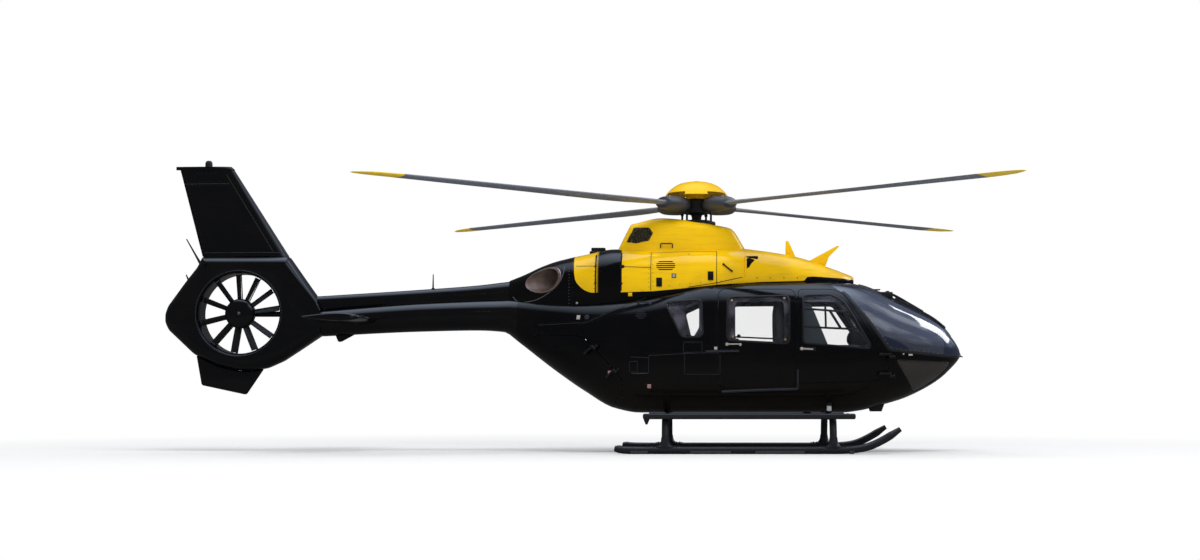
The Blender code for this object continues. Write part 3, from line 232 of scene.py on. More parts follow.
# Fins and shroud, seen from the side
SHROUD = (
    (-4.824, 2.500), (-4.890, 2.363), (-5.034, 2.176), (-5.255, 1.865), (-5.290, 1.765),
    (-5.290, 1.656), (-5.244, 1.556), (-4.913, 1.246), (-4.613, 1.103), (-4.349, 1.036),
    (-4.172, 1.033), (-3.973, 1.069), (-3.774, 1.158), (-3.575, 1.290), (-3.2803, 1.490),
    (-3.2803, 1.830), (-3.360, 1.990), (-3.720, 2.500),
)
FIN_ROOT = (-4.840, -3.722, 2.5003)
FIN_TIP = (-5.145, -4.447, 3.620)
FIN_THICKNESS = (0.17, 0.09)  # to the chord, at the root and at the tip
HALF_EDGE = 0.0015  # half the thickness of a trailing edge
VENTRAL = ((-4.905, 1.30), (-4.818, 0.850), (-4.250, 0.728), (-3.990, 1.12))
BLADE_ANTENNA = ((2.66, 2.48), (2.81, 2.46), (2.70, 2.705), (2.665, 2.705))
WIRE_CUTTER = ((2.93, 2.43), (3.17, 2.36), (3.22, 2.50), (3.36, 2.64), (3.33, 2.645), (3.10, 2.52))
BOOM_ANTENNA = ((-3.12, 1.50), (-2.83, 1.52), (-3.04, 1.405), (-3.08, 1.405))


# Forms between cross-sections

def steady_slopes(x, y):
    """Slopes of a curve through the points that never overshoots them."""
    step = np.diff(x)
    rise = np.diff(y) / step
    slopes = np.zeros(len(x))
    for i in range(1, len(x) - 1):
        if rise[i - 1] * rise[i] > 0:
            a = 2 * step[i] + step[i - 1]
            b = step[i] + 2 * step[i - 1]
            slopes[i] = (a + b) / (a / rise[i - 1] + b / rise[i])
    slopes[0], slopes[-1] = rise[0], rise[-1]
    return slopes


class Form:
    """A smooth body through its stations. Its measures run along the square root of the distance
    from a round nose, or straight along X where the form is blunt."""

    def __init__(self, stations, nose=None):
        rows = np.array(sorted(stations, key=lambda s: -s.x), float)
        self.nose = nose
        self.along = np.array([self.run(x) for x in rows[:, 0]])
        self.values = rows[:, 1:]
        self.slopes = np.array([steady_slopes(self.along, column) for column in self.values.T]).T
        self.front, self.rear = rows[0, 0], rows[-1, 0]

    def run(self, x):
        return math.sqrt(max(self.nose - x, 0)) if self.nose else -x

    def at(self, x):
        t = min(max(self.run(x), self.along[0]), self.along[-1])
        i = min(int(np.searchsorted(self.along, t, side="right")) - 1, len(self.along) - 2)
        step = self.along[i + 1] - self.along[i]
        s = (t - self.along[i]) / step
        row = ((1 + 2 * s) * (1 - s) ** 2 * self.values[i]
               + s * (1 - s) ** 2 * step * self.slopes[i]
               + s * s * (3 - 2 * s) * self.values[i + 1]
               + s * s * (s - 1) * step * self.slopes[i + 1])
        return Station(x, *row)

    def ring(self, x, inset, count):
        """A closed super-ellipse across X, moved in by the inset."""
        s = self.at(x)
        angles = (np.arange(count) + 0.5) * 2 * math.pi / count
        cosine, sine = np.cos(angles), np.sin(angles)
        power = np.where(sine > 0, 2 / s.n_high, 2 / s.n_low)
        rise = np.where(sine > 0, s.high - s.wide, s.wide - s.low)
        y = (s.half_width - inset) * np.sign(cosine) * np.abs(cosine) ** power
        z = s.wide + (rise - inset) * np.sign(sine) * np.abs(sine) ** power
        return np.stack([np.full(count, x), y, z], axis=1)

    def half_at(self, x, z):
        """The cross-section at x, and the rise and the power of its half that z lies in."""
        s = self.at(x)
        if z > s.wide:
            return s, s.high - s.wide, s.n_high
        return s, s.wide - s.low, s.n_low

    def side(self, x, z):
        """Half the width at a point of the side view."""
        s, rise, power = self.half_at(x, z)
        share = min(abs(z - s.wide) / rise, 1.0)
        return s.half_width * (1 - share ** power) ** (1 / power)

    def top(self, x, y):
        """The height of the upper surface at a point of the plan view."""
        s = self.at(x)
        share = min(abs(y) / s.half_width, 1.0)
        return s.wide + (s.high - s.wide) * (1 - share ** s.n_high) ** (1 / s.n_high)

    def below(self, x, y):
        """The height of the lower surface at a point of the plan view."""
        s = self.at(x)
        share = min(abs(y) / s.half_width, 1.0)
        return s.wide - (s.wide - s.low) * (1 - share ** s.n_low) ** (1 / s.n_low)

    def holds(self, point, inset):
        """Whether a point lies deeper than the inset."""
        s, rise, power = self.half_at(point.x, point.z)
        rise, width = rise - inset, s.half_width - inset
        return rise > 0 and width > 0 and (
            (abs(point.y) / width) ** power + (abs(point.z - s.wide) / rise) ** power < 1)

    def outwards(self, x, z, side):
        """The surface's direction at a point of the side view."""
        e = SLOPE_STEP
        along = (self.side(x + e, z) - self.side(x - e, z)) / (2 * e)
        up = (self.side(x, z + e) - self.side(x, z - e)) / (2 * e)
        return Vector((-along, side, -up)).normalized()


def cuts(front, rear, step, nose_from=None, nose_steps=0):
    """Where the rings of a loft stand, closer together near a round nose."""
    start = front
    places = []
    if nose_from is not None:
        for i in range(nose_steps):
            places.append(front - (front - nose_from) * (i / nose_steps) ** 2)
        start = nose_from
    count = max(2, round((start - rear) / step))
    return places + [start - (start - rear) * i / count for i in range(count + 1)]


body_form = Form(BODY, nose=BODY[0].x + 0.012)
boom_form = Form(BOOM)
cover_form = Form(SHAFT_COVER)
cowl_form = Form(ENGINE_COWL)
tail_form = Form(EXHAUST_FAIRING)
roof_form = Form(ROOF_FAIRING, nose=ROOF_FAIRING[0].x + 0.02)
hump_form = Form(TRANSMISSION_COWL)


# Meshes

def circle(count):
    """Even angles round a circle."""
    return np.linspace(0, 2 * math.pi, count, endpoint=False)


def bend(start, corner, end, steps):
    """A curve from start to end, drawn towards the corner between them."""
    shares = [k / steps for k in range(steps + 1)]
    return [start * (1 - s) ** 2 + corner * 2 * s * (1 - s) + end * s * s for s in shares]


def squared(value, power):
    """A cosine or sine drawn towards a square's corners."""
    return math.copysign(abs(value) ** power, value)


def add_object(name, data, material=None):
    obj = bpy.data.objects.new(name, data)
    bpy.context.scene.collection.objects.link(obj)
    if material is not None:
        obj.data.materials.clear()
        obj.data.materials.append(material)
    return obj


def from_bmesh(name, bm, material=None):
    mesh = bpy.data.meshes.new(name)
    bm.to_mesh(mesh)
    bm.free()
    return add_object(name, mesh, material)


def loft(name, rings, material=None, looped=False):
    """A tube of faces through rings with the same number of points. Its ends are closed, or
    joined to each other."""
    bm = bmesh.new()
    loops = [[bm.verts.new(point) for point in ring] for ring in rings]
    pairs = list(zip(loops, loops[1:]))
    if looped:
        pairs.append((loops[-1], loops[0]))
    for a, b in pairs:
        for i in range(len(a)):
            j = (i + 1) % len(a)
            bm.faces.new((a[i], a[j], b[j], b[i]))
    if not looped:
        bm.faces.new(loops[0])
        bm.faces.new(loops[-1])
    bmesh.ops.recalc_face_normals(bm, faces=bm.faces)
    return from_bmesh(name, bm, material)


def form_loft(name, form, inset=0.0, front=None, rear=None, step=0.05, count=72, material=None):
    """A closed solid of a form between two x values, both its own ends unless they are given."""
    front = form.front if front is None else front
    rear = form.rear if rear is None else rear
    places = cuts(front, rear, step)
    if form.nose and front == form.front:
        places = cuts(front, rear, step, front - 0.25 * (front - rear), 14)
    return loft(name, [form.ring(x, inset, count) for x in places], material)


def prism(name, outline, y_low, y_high, material=None):
    """A side view outline carried from one y to the other."""
    y_low, y_high = sorted((y_low, y_high))
    bm = bmesh.new()
    face = bm.faces.new([bm.verts.new((x, y_low, z)) for x, z in outline])
    made = bmesh.ops.extrude_face_region(bm, geom=[face])
    far = [item for item in made["geom"] if isinstance(item, bmesh.types.BMVert)]
    bmesh.ops.translate(bm, vec=(0, y_high - y_low, 0), verts=far)
    bmesh.ops.recalc_face_normals(bm, faces=bm.faces)
    return from_bmesh(name, bm, material)


def block(name, corner, far_corner, material=None, bevel=0.0, segments=3):
    """A box between two opposite corners, with its edges eased."""
    low, high = (Vector([pick(pair) for pair in zip(corner, far_corner)]) for pick in (min, max))
    bm = bmesh.new()
    bmesh.ops.create_cube(bm, size=1.0)
    bmesh.ops.scale(bm, vec=high - low, verts=bm.verts)
    bmesh.ops.translate(bm, vec=(low + high) / 2, verts=bm.verts)
    if bevel:
        bmesh.ops.bevel(bm, geom=bm.edges[:], offset=bevel, segments=segments, profile=0.5,
                        affect="EDGES")
    return from_bmesh(name, bm, material)


def cylinder(name, start, end, radius, material=None, sides=32, end_radius=None, bevel=0.0):
    """A cylinder, or a cone with an end radius, with its rims eased."""
    start, end = Vector(start), Vector(end)
    bm = bmesh.new()
    bmesh.ops.create_cone(
        bm, cap_ends=True, segments=sides, radius1=radius,
        radius2=radius if end_radius is None else end_radius, depth=(end - start).length,
    )
    if bevel:
        rims = [edge for edge in bm.edges if any(len(face.verts) > 4 for face in edge.link_faces)]
        bmesh.ops.bevel(bm, geom=rims, offset=bevel, segments=3, profile=0.5, affect="EDGES")
    turn = (end - start).to_track_quat("Z", "Y").to_matrix().to_4x4()
    bmesh.ops.transform(bm, matrix=Matrix.Translation((start + end) / 2) @ turn, verts=bm.verts)
    return from_bmesh(name, bm, material)


def turned(name, profile, centre, material=None, steps=48, axis=(0, 0, 1), looped=False):
    """A solid turned from (radius, height) points about an axis through its centre."""
    turn = Vector(axis).to_track_quat("Z", "Y")
    rings = []
    for radius, height in profile:
        rings.append([Vector(centre) + turn @ Vector((radius * math.cos(a), radius * math.sin(a),
                                                      height))
                      for a in circle(steps)])
    return loft(name, rings, material, looped=looped)


def tangents(path, closed=False):
    """The direction of a path at each of its points."""
    count = len(path)
    found = []
    for i in range(count):
        before = path[i - 1] if closed or i else path[0]
        after = path[(i + 1) % count] if closed or i < count - 1 else path[-1]
        found.append((after - before).normalized())
    return found


def moving_frames(path, closed):
    """Two directions across a path at each point, turned as little as can be along it."""
    directions = tangents(path, closed)
    across = directions[0].orthogonal().normalized()
    frames = []
    for tangent in directions:
        across = (across - tangent * across.dot(tangent)).normalized()
        frames.append((across, tangent.cross(across)))
    return frames


def tube(name, path, radius, material=None, sides=16, closed=False):
    """A round tube along a path. The radius is one number, or one for each point."""
    path = [Vector(p) for p in path]
    radii = radius if isinstance(radius, (list, tuple)) else [radius] * len(path)
    rings = []
    for point, (u, v), r in zip(path, moving_frames(path, closed), radii):
        rings.append([point + u * (r * math.cos(a)) + v * (r * math.sin(a))
                      for a in circle(sides)])
    return loft(name, rings, material, looped=closed)


def rounded_path(corners, radius, steps):
    """A polyline in space with its inner corners rounded."""
    corners = [Vector(p) for p in corners]
    line = [corners[0]]
    for before, corner, after in zip(corners, corners[1:], corners[2:]):
        start = corner + (before - corner).normalized() * min(radius, (before - corner).length / 2)
        end = corner + (after - corner).normalized() * min(radius, (after - corner).length / 2)
        line += bend(start, corner, end, steps)
    line.append(corners[-1])
    return [p for p, q in zip(line, line[1:] + [None]) if q is None or (p - q).length > 1e-5]


def rounded(corners, radius, steps=8):
    """A closed (x, z) outline with its corners rounded."""
    outline = []
    count = len(corners)
    for i in range(count):
        corner = Vector(corners[i])
        to_before = Vector(corners[i - 1]) - corner
        to_after = Vector(corners[(i + 1) % count]) - corner
        reach = min(radius, 0.45 * to_before.length, 0.45 * to_after.length)
        start = corner + to_before.normalized() * reach
        end = corner + to_after.normalized() * reach
        outline += bend(start, corner, end, steps)
    return outline


def grown(outline, by):
    """A closed (x, z) outline moved outwards all round."""
    points = [Vector(p) for p in outline]
    area = sum(a.x * b.y - b.x * a.y for a, b in zip(points, points[1:] + points[:1]))
    side = 1 if area > 0 else -1
    moved = []
    for i, point in enumerate(points):
        first = (point - points[i - 1]).normalized()
        second = (points[(i + 1) % len(points)] - point).normalized()
        out_first = Vector((first.y, -first.x)) * side
        out_second = Vector((second.y, -second.x)) * side
        moved.append(point + (out_first + out_second) * by / (1 + out_first.dot(out_second)))
    return moved


def resampled(points, step, closed=False):
    """A polyline with no stretch longer than the step."""
    points = [Vector(p) for p in points]
    ends = points[1:] + points[:1] if closed else points[1:]
    line = []
    for a, b in zip(points, ends):
        count = max(1, math.ceil((b - a).length / step))
        line += [a.lerp(b, i / count) for i in range(count)]
    if not closed:
        line.append(points[-1])
    return line


def baked(obj):
    """An object with its modifiers applied."""
    bpy.context.view_layer.update()
    graph = bpy.context.evaluated_depsgraph_get()
    mesh = bpy.data.meshes.new_from_object(obj.evaluated_get(graph))
    obj.modifiers.clear()
    obj.data = mesh
    return obj


def combine(target, other, operation, keep=False):
    """One exact Boolean, applied at once."""
    modifier = target.modifiers.new(operation.title(), "BOOLEAN")
    modifier.operation = operation
    modifier.solver = "EXACT"
    modifier.object = other
    baked(target)
    if not keep:
        bpy.data.objects.remove(other)
    return target


def cut(target, *cutters, keep=False):
    for cutter in cutters:
        combine(target, cutter, "DIFFERENCE", keep)
    return target


def eased(obj, width, segments=3):
    """Rounds the sharp edges of a piece."""
    bevel = obj.modifiers.new("Ease", "BEVEL")
    bevel.width = width
    bevel.segments = segments
    bevel.limit_method = "ANGLE"
    bevel.angle_limit = math.radians(35)
    return baked(obj)


def copy_of(source, name, material=None):
    return add_object(name, source.data.copy(), material or source.active_material)


def mirrored(source, name):
    """A copy on the other side of the centre plane."""
    twin = add_object(name, source.data.copy())
    twin.data.transform(Matrix.Scale(-1, 4, (0, 1, 0)))
    twin.data.flip_normals()
    return twin


def merged(name, pieces, material):
    """Several pieces as one object."""
    bm = bmesh.new()
    for piece in pieces:
        bm.from_mesh(piece.data)
        bpy.data.objects.remove(piece)
    return from_bmesh(name, bm, material)


def smooth(obj, angle=32):
    obj.data.shade_smooth()
    obj.data.set_sharp_from_angle(angle=math.radians(angle))
    return obj


def dress(obj, body, slot, *nodes):
    """Gives a piece its body, and hides the nodes that it stands for. Its slot is not used."""
    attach(obj, body)
    if nodes:
        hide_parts(*nodes)
    return obj


def dress_pair(left, stem, body, slot, node_name=None):
    """Dresses a port piece and its mirror image, named by their stem and hand. The names of
    their body and node may hold the hand as {}."""
    left.name = f"{stem}_left"
    for hand, obj in (("left", left), ("right", mirrored(left, f"{stem}_right"))):
        nodes = [node_name.format(hand)] if node_name else []
        dress(obj, body.format(hand), slot, *nodes)


def gather(name, pieces, material, body=AIRFRAME, slot="black_paint", angle=32):
    """Several pieces of one material, as one dressed object."""
    return dress(smooth(merged(name, pieces, material), angle), body, slot)


# Trim that follows a surface

SUNK = 0.004  # how deep small fittings sit in the surface


def spot(form, x, z, side):
    """A point on the side of a form, and its outward direction."""
    return Vector((x, side * form.side(x, z), z)), form.outwards(x, z, side)


def side_strip(name, form, line, side, width, rise, closed=False, sink=0.003):
    """A low strip along a side view line, on the surface of a form."""
    path, normals = zip(*(spot(form, x, z, side) for x, z in resampled(line, 0.03, closed)))
    profile = ((-0.5, -sink), (-0.5, rise * 0.4), (-0.32, rise), (0.32, rise), (0.5, rise * 0.4),
               (0.5, -sink))
    rings = []
    for point, normal, tangent in zip(path, normals, tangents(path, closed)):
        across = tangent.cross(normal).normalized()
        rings.append([point + across * (u * width) + normal * v for u, v in profile])
    return loft(name, rings, looped=closed)


def studs(name, places, radius, height, material, slot="black_paint"):
    """Low domed heads at (point, normal) places, as one dressed object."""
    bm = bmesh.new()
    for point, normal in places:
        turn = normal.to_track_quat("Z", "Y").to_matrix().to_4x4()
        made = bmesh.ops.create_cone(bm, cap_ends=True, segments=8, radius1=radius,
                                     radius2=radius * 0.55, depth=height)
        bmesh.ops.transform(bm, matrix=Matrix.Translation(point + normal * height * 0.3) @ turn,
                            verts=made["verts"])
    return dress(smooth(from_bmesh(name, bm, material)), AIRFRAME, slot)


def shifted(line, along, up):
    """A side view line moved by a distance."""
    return [Vector(p) + Vector((along, up)) for p in line]


def side_places(form, line, side, pitch, closed=False):
    """Evenly spaced (point, normal) places along a side view line on a form."""
    points = [Vector(p) for p in line]
    if closed:
        points.append(points[0])
    places, carry = [], pitch / 2
    for a, b in zip(points, points[1:]):
        length = (b - a).length
        while carry < length:
            places.append(spot(form, *a.lerp(b, carry / length), side))
            carry += pitch
        carry -= length
    return places


# Materials

def material_of(name, colour, roughness, metallic=0.0):
    """A new node material, and its tree and shader."""
    material = bpy.data.materials.new(name)
    material.use_nodes = True
    tree = material.node_tree
    shader = tree.nodes["Principled BSDF"]
    shader.inputs["Base Color"].default_value = (*colour, 1.0)
    shader.inputs["Roughness"].default_value = roughness
    shader.inputs["Metallic"].default_value = metallic
    return material, tree, shader


def node(tree, kind, inputs=(), **settings):
    """A node with its settings, and its inputs set to numbers or linked to sockets."""
    made = tree.nodes.new(kind)
    for key, value in settings.items():
        setattr(made, key, value)
    for key, value in dict(inputs).items():
        if isinstance(value, bpy.types.NodeSocket):
            tree.links.new(value, made.inputs[key])
        else:
            made.inputs[key].default_value = value
    return made


def place(tree):
    return node(tree, "ShaderNodeTexCoord").outputs["Object"]


def noise(tree, scale, detail=3.0, stretch=None):
    vector = place(tree)
    if stretch:
        mapping = node(tree, "ShaderNodeMapping", {"Vector": vector, "Scale": stretch})
        vector = mapping.outputs["Vector"]
    return node(tree, "ShaderNodeTexNoise",
                {"Vector": vector, "Scale": scale, "Detail": detail}).outputs["Fac"]


def spread(tree, value, low, high, start=0.3, end=0.7):
    """A value taken from one range to another."""
    return node(tree, "ShaderNodeMapRange",
                {"Value": value, "From Min": start, "From Max": end,
                 "To Min": low, "To Max": high}).outputs["Result"]


def sums(tree, operation, a, b):
    return node(tree, "ShaderNodeMath", {0: a, 1: b}, operation=operation).outputs["Value"]


def mixed(tree, share, a, b):
    """Two colours mixed by a share."""
    mix = node(tree, "ShaderNodeMix", data_type="RGBA")
    for socket, value in ((mix.inputs[0], share), (mix.inputs[6], a), (mix.inputs[7], b)):
        if isinstance(value, bpy.types.NodeSocket):
            tree.links.new(value, socket)
        else:
            socket.default_value = (*value, 1.0)
    return mix.outputs[2]


def shaded(colour, share=0.7):
    """A colour made darker, or lighter with a share over one."""
    return tuple(c * share for c in colour)


def bumped(tree, shader, height, distance, strength=0.6):
    """Gives a shader the relief of a height."""
    bump = node(tree, "ShaderNodeBump",
                {"Height": height, "Distance": distance, "Strength": strength})
    tree.links.new(bump.outputs["Normal"], shader.inputs["Normal"])


# Paint colours, the colours that dirt takes on them, and a painted reflection of the ground
BLACK = (0.0014, 0.0016, 0.0023)
BLACK_DIRT = (0.0052, 0.0044, 0.0036)
# Painted reflection of the ground: a brown tint laid on the paint towards the belly
BELLY_GROUND_REFLECTION = (0.0085, 0.0068, 0.0050)  # towards the belly
YELLOW = (0.92, 0.56, 0.004)
YELLOW_DIRT = (0.50, 0.28, 0.018)
BLADE_GREY = (0.17, 0.185, 0.225)
PAINT_UNEVEN = 0.003
LIVERY_ROUGHNESS = 0.12

# The lower edge of the yellow on the cowlings, as (x, z), and the black band round them
SCHEME = (
    (-0.100, 2.70), (-0.034, 2.60), (-0.024, 2.223), (0.000, 2.150), (0.055, 2.084),
    (0.110, 2.040), (0.190, 2.008), (0.560, 2.010), (0.966, 2.024), (1.313, 2.056),
    (1.783, 2.108), (2.192, 2.137), (2.320, 2.146), (2.888, 2.165), (2.915, 2.215),
    (3.000, 2.220), (3.493, 2.197), (3.900, 2.17),
)
BAND_X = (0.250, 0.290, 0.573)
SCHEME_X = (-0.5, 4.0)
SCHEME_Z = (1.5, 3.0)


def finish_paint(tree, shader, colour, dirt, roughness, ground_reflection_tint=None):
    """Gloss paint: a little grime in patches, a painted reflection of the ground towards the bottom
    when one is given, and a surface that isn't quite even.
    """
    grime = spread(tree, noise(tree, 1.7, 6.0), 0.0, 0.6, 0.48, 0.85)
    streaks = spread(tree, noise(tree, 3.0, 5.0, (1.0, 1.0, 7.0)), 0.0, 0.35, 0.5, 0.8)
    shade = mixed(tree, streaks, colour, dirt)
    shade = mixed(tree, grime, shade, dirt)
    # Painted reflection of the ground: browner from 1.25 m down to 0.55 m above the ground
    if ground_reflection_tint:
        height = node(tree, "ShaderNodeSeparateXYZ", {"Vector": place(tree)}).outputs["Z"]
        shade = mixed(tree, spread(tree, height, 0.85, 0.0, 0.55, 1.25), shade, ground_reflection_tint)
    tree.links.new(shade, shader.inputs["Base Color"])
    tree.links.new(spread(tree, noise(tree, 6.0, 4.0), roughness * 0.8, roughness * 1.3),
                   shader.inputs["Roughness"])
    bumped(tree, shader, noise(tree, 3.0, 1.0), PAINT_UNEVEN, 0.25)


def plain_paint(name, colour, dirt, roughness, level):
    material, tree, shader = material_of(name, colour, roughness)
    finish_paint(tree, shader, colour, dirt, roughness)
    shader.inputs["Specular IOR Level"].default_value = level
    return material


def livery(name):
    """Black paint with the yellow of the upper cowlings over it, by height along the body."""
    material, tree, shader = material_of(name, BLACK, LIVERY_ROUGHNESS)
    parts = node(tree, "ShaderNodeSeparateXYZ", {"Vector": place(tree)})
    x, z = parts.outputs["X"], parts.outputs["Z"]
    curve = node(tree, "ShaderNodeFloatCurve", {"Value": spread(tree, x, 0.0, 1.0, *SCHEME_X)})
    points = curve.mapping.curves[0].points
    flat = [((a - SCHEME_X[0]) / (SCHEME_X[1] - SCHEME_X[0]),
             (b - SCHEME_Z[0]) / (SCHEME_Z[1] - SCHEME_Z[0])) for a, b in SCHEME]
    points[0].location, points[1].location = flat[0], flat[-1]
    for location in flat[1:-1]:
        points.new(*location)
    for point in points:
        point.handle_type = "VECTOR"
    curve.mapping.update()
    edge = spread(tree, curve.outputs["Value"], *SCHEME_Z, 0.0, 1.0)
    above = sums(tree, "GREATER_THAN", z, edge)
    behind = spread(tree, x, 1.0, 0.0, BAND_X[0], BAND_X[1])
    ahead = sums(tree, "GREATER_THAN", x, BAND_X[2])
    share = sums(tree, "MULTIPLY", above, sums(tree, "MAXIMUM", behind, ahead))
    finish_paint(tree, shader, mixed(tree, share, BLACK, YELLOW),
                 mixed(tree, share, BLACK_DIRT, YELLOW_DIRT), LIVERY_ROUGHNESS, BELLY_GROUND_REFLECTION)
    shader.inputs["Specular IOR Level"].default_value = 0.30
    return material


def blade_paint():
    """Satin grey with yellow tips, worn in scuffs scattered over it."""
    material, tree, shader = material_of("blade_satin", BLADE_GREY, 0.42)
    parts = node(tree, "ShaderNodeSeparateXYZ", {"Vector": place(tree)})
    dx = sums(tree, "SUBTRACT", parts.outputs["X"], MAST.x)
    dy = parts.outputs["Y"]
    squares = sums(tree, "ADD", sums(tree, "MULTIPLY", dx, dx), sums(tree, "MULTIPLY", dy, dy))
    tip = sums(tree, "GREATER_THAN", squares, YELLOW_FROM ** 2)
    scuffs = spread(tree, noise(tree, 9.0, 6.0), 0.0, 0.5, 0.5, 0.75)
    base = mixed(tree, tip, BLADE_GREY, (0.88, 0.60, 0.015))
    worn = mixed(tree, tip, (0.23, 0.24, 0.27), (0.60, 0.40, 0.03))
    tree.links.new(mixed(tree, scuffs, base, worn), shader.inputs["Base Color"])
    tree.links.new(spread(tree, noise(tree, 30.0), 0.34, 0.52), shader.inputs["Roughness"])
    bumped(tree, shader, noise(tree, 60.0), 0.0004)
    return material


def clear_sheet(name, tint, alpha, edge_alpha, ior=1.49, waves=0.0):
    """Clear acrylic that mirrors more and hides more towards its edges."""
    roughness = 0.02
    material, tree, shader = material_of(name, tint, roughness)
    facing = node(tree, "ShaderNodeLayerWeight", {"Blend": 0.35}).outputs["Facing"]
    tree.links.new(spread(tree, facing, alpha, edge_alpha, 0.10, 1.0), shader.inputs["Alpha"])
    haze = spread(tree, noise(tree, 5.0, 5.0), roughness * 0.6, roughness * 3.0)
    tree.links.new(haze, shader.inputs["Roughness"])
    smears = spread(tree, noise(tree, 2.5, 5.0), 0.0, 1.0, 0.45, 0.75)
    tree.links.new(mixed(tree, smears, tint, shaded(tint, 1.5)), shader.inputs["Base Color"])
    shader.inputs["IOR"].default_value = ior
    shader.inputs["Coat Weight"].default_value = 1.0
    shader.inputs["Coat Roughness"].default_value = 0.02
    if waves:
        bumped(tree, shader, noise(tree, 4.0, 3.0), waves)
    return material


def dull(name, colour, roughness, metallic=0.0, bump=0.0004, scale=90.0):
    """Moulded plastic, rubber or metal with a fine grain."""
    material, tree, shader = material_of(name, colour, roughness, metallic)
    tint = spread(tree, noise(tree, scale / 6, 5.0), 0.0, 0.6)
    tree.links.new(mixed(tree, tint, colour, shaded(colour)), shader.inputs["Base Color"])
    tree.links.new(spread(tree, noise(tree, scale / 2, 4.0), roughness * 0.8, roughness * 1.2),
                   shader.inputs["Roughness"])
    bumped(tree, shader, noise(tree, scale, 4.0), bump)
    return material


def burnt_metal():
    """Steel coloured by heat, browner and rougher in patches."""
    material, tree, shader = material_of("heat_coloured_metal", (0.31, 0.24, 0.21), 0.35, 0.60)
    heat = spread(tree, noise(tree, 7.0, 5.0), 0.0, 1.0, 0.35, 0.65)
    soot_and_painted_shade = spread(tree, noise(tree, 3.0, 6.0), 0.0, 0.7, 0.45, 0.8)
    metal = mixed(tree, heat, (0.27, 0.19, 0.155), (0.16, 0.115, 0.10))
    tree.links.new(mixed(tree, soot_and_painted_shade, metal, (0.035, 0.028, 0.025)), shader.inputs["Base Color"])
    tree.links.new(spread(tree, noise(tree, 20.0, 5.0), 0.28, 0.55), shader.inputs["Roughness"])
    bumped(tree, shader, noise(tree, 35.0, 4.0), 0.0008)
    return material


def weave(name, colour):
    """Coarse upholstery cloth."""
    material, tree, shader = material_of(name, colour, 0.85)
    threads = {"Vector": place(tree), "Scale": 110.0, "Distortion": 1.5}
    warp, weft = (node(tree, "ShaderNodeTexWave", threads, bands_direction=axis).outputs["Fac"]
                  for axis in "YZ")
    cross = sums(tree, "MULTIPLY", warp, weft)
    tint = spread(tree, noise(tree, 20.0), 0.0, 0.6)
    tree.links.new(mixed(tree, tint, colour, shaded(colour)), shader.inputs["Base Color"])
    shader.inputs["Sheen Weight"].default_value = 0.4
    bumped(tree, shader, cross, 0.001, 0.5)
    return material


def surround(name):
    """Smooth moulded plastic, with a painted reflection of the daylight in soft paler patches."""
    material, tree, shader = material_of(name, (0.05, 0.045, 0.06), 0.20)
    # Painted reflection: paler patches laid by noise
    patches = spread(tree, noise(tree, 4.5, 2.0), 0.0, 1.0, 0.40, 0.66)
    tree.links.new(mixed(tree, patches, (0.006, 0.006, 0.008), (0.10, 0.09, 0.12)),
                   shader.inputs["Base Color"])
    return material


def mesh_screen(name):
    """Fine woven wire, with painted shade in its dark openings."""
    material, tree, shader = material_of(name, (0.05, 0.045, 0.03), 0.5, 0.5)
    cells = node(tree, "ShaderNodeTexVoronoi", {"Vector": place(tree), "Scale": 38.0},
                 feature="DISTANCE_TO_EDGE").outputs["Distance"]
    wire = spread(tree, cells, 1.0, 0.0, 0.02, 0.12)
    # Painted shade: the openings are near-black for the space behind the wire
    tree.links.new(mixed(tree, wire, (0.006, 0.006, 0.005), (0.13, 0.11, 0.05)),
                   shader.inputs["Base Color"])
    bumped(tree, shader, wire, 0.003, 0.8)
    return material


black = plain_paint("black_gloss", BLACK, BLACK_DIRT, 0.11, 0.50)
yellow = plain_paint("yellow_gloss", YELLOW, YELLOW_DIRT, 0.22, 0.16)
scheme = livery("livery_gloss")
screen = clear_sheet("clear_acrylic", (0.014, 0.020, 0.044), 0.62, 0.92, 1.7, 0.0016)
side_glass = clear_sheet("side_acrylic", (0.10, 0.11, 0.13), 0.05, 0.50)
chin_screen = clear_sheet("tinted_acrylic", (0.034, 0.029, 0.025), 0.78, 0.92)
rubber = dull("seal_rubber", (0.010, 0.010, 0.011), 0.55)
trim = dull("cabin_trim", (0.030, 0.031, 0.035), 0.60)
reveal = surround("window_surround")
# Dark enamel, lighter and bluer than the paint: a painted sheen on the rails, grips and duct rim
black_with_painted_sheen = dull("rail_enamel_painted_sheen", (0.034, 0.038, 0.048), 0.20, 0.3, 0.0003, 50.0)
fan_black = dull("fan_enamel", (0.008, 0.009, 0.011), 0.50, 0.0, 0.0003, 60.0)
lining = dull("cabin_lining", (0.16, 0.165, 0.175), 0.75)
carpet = dull("floor_mat", (0.03, 0.03, 0.034), 0.9, bump=0.002, scale=160.0)
cloth = weave("seat_weave", (0.075, 0.085, 0.090))
webbing = weave("strap_weave", (0.030, 0.032, 0.038))
blade_grey = blade_paint()
cuff_grey = dull("cuff_composite", (0.058, 0.062, 0.072), 0.45)
steel = dull("machined_steel", (0.32, 0.32, 0.33), 0.35, 0.9)
dark_steel = dull("dark_steel", (0.040, 0.040, 0.045), 0.42, 0.7)
burnt = burnt_metal()
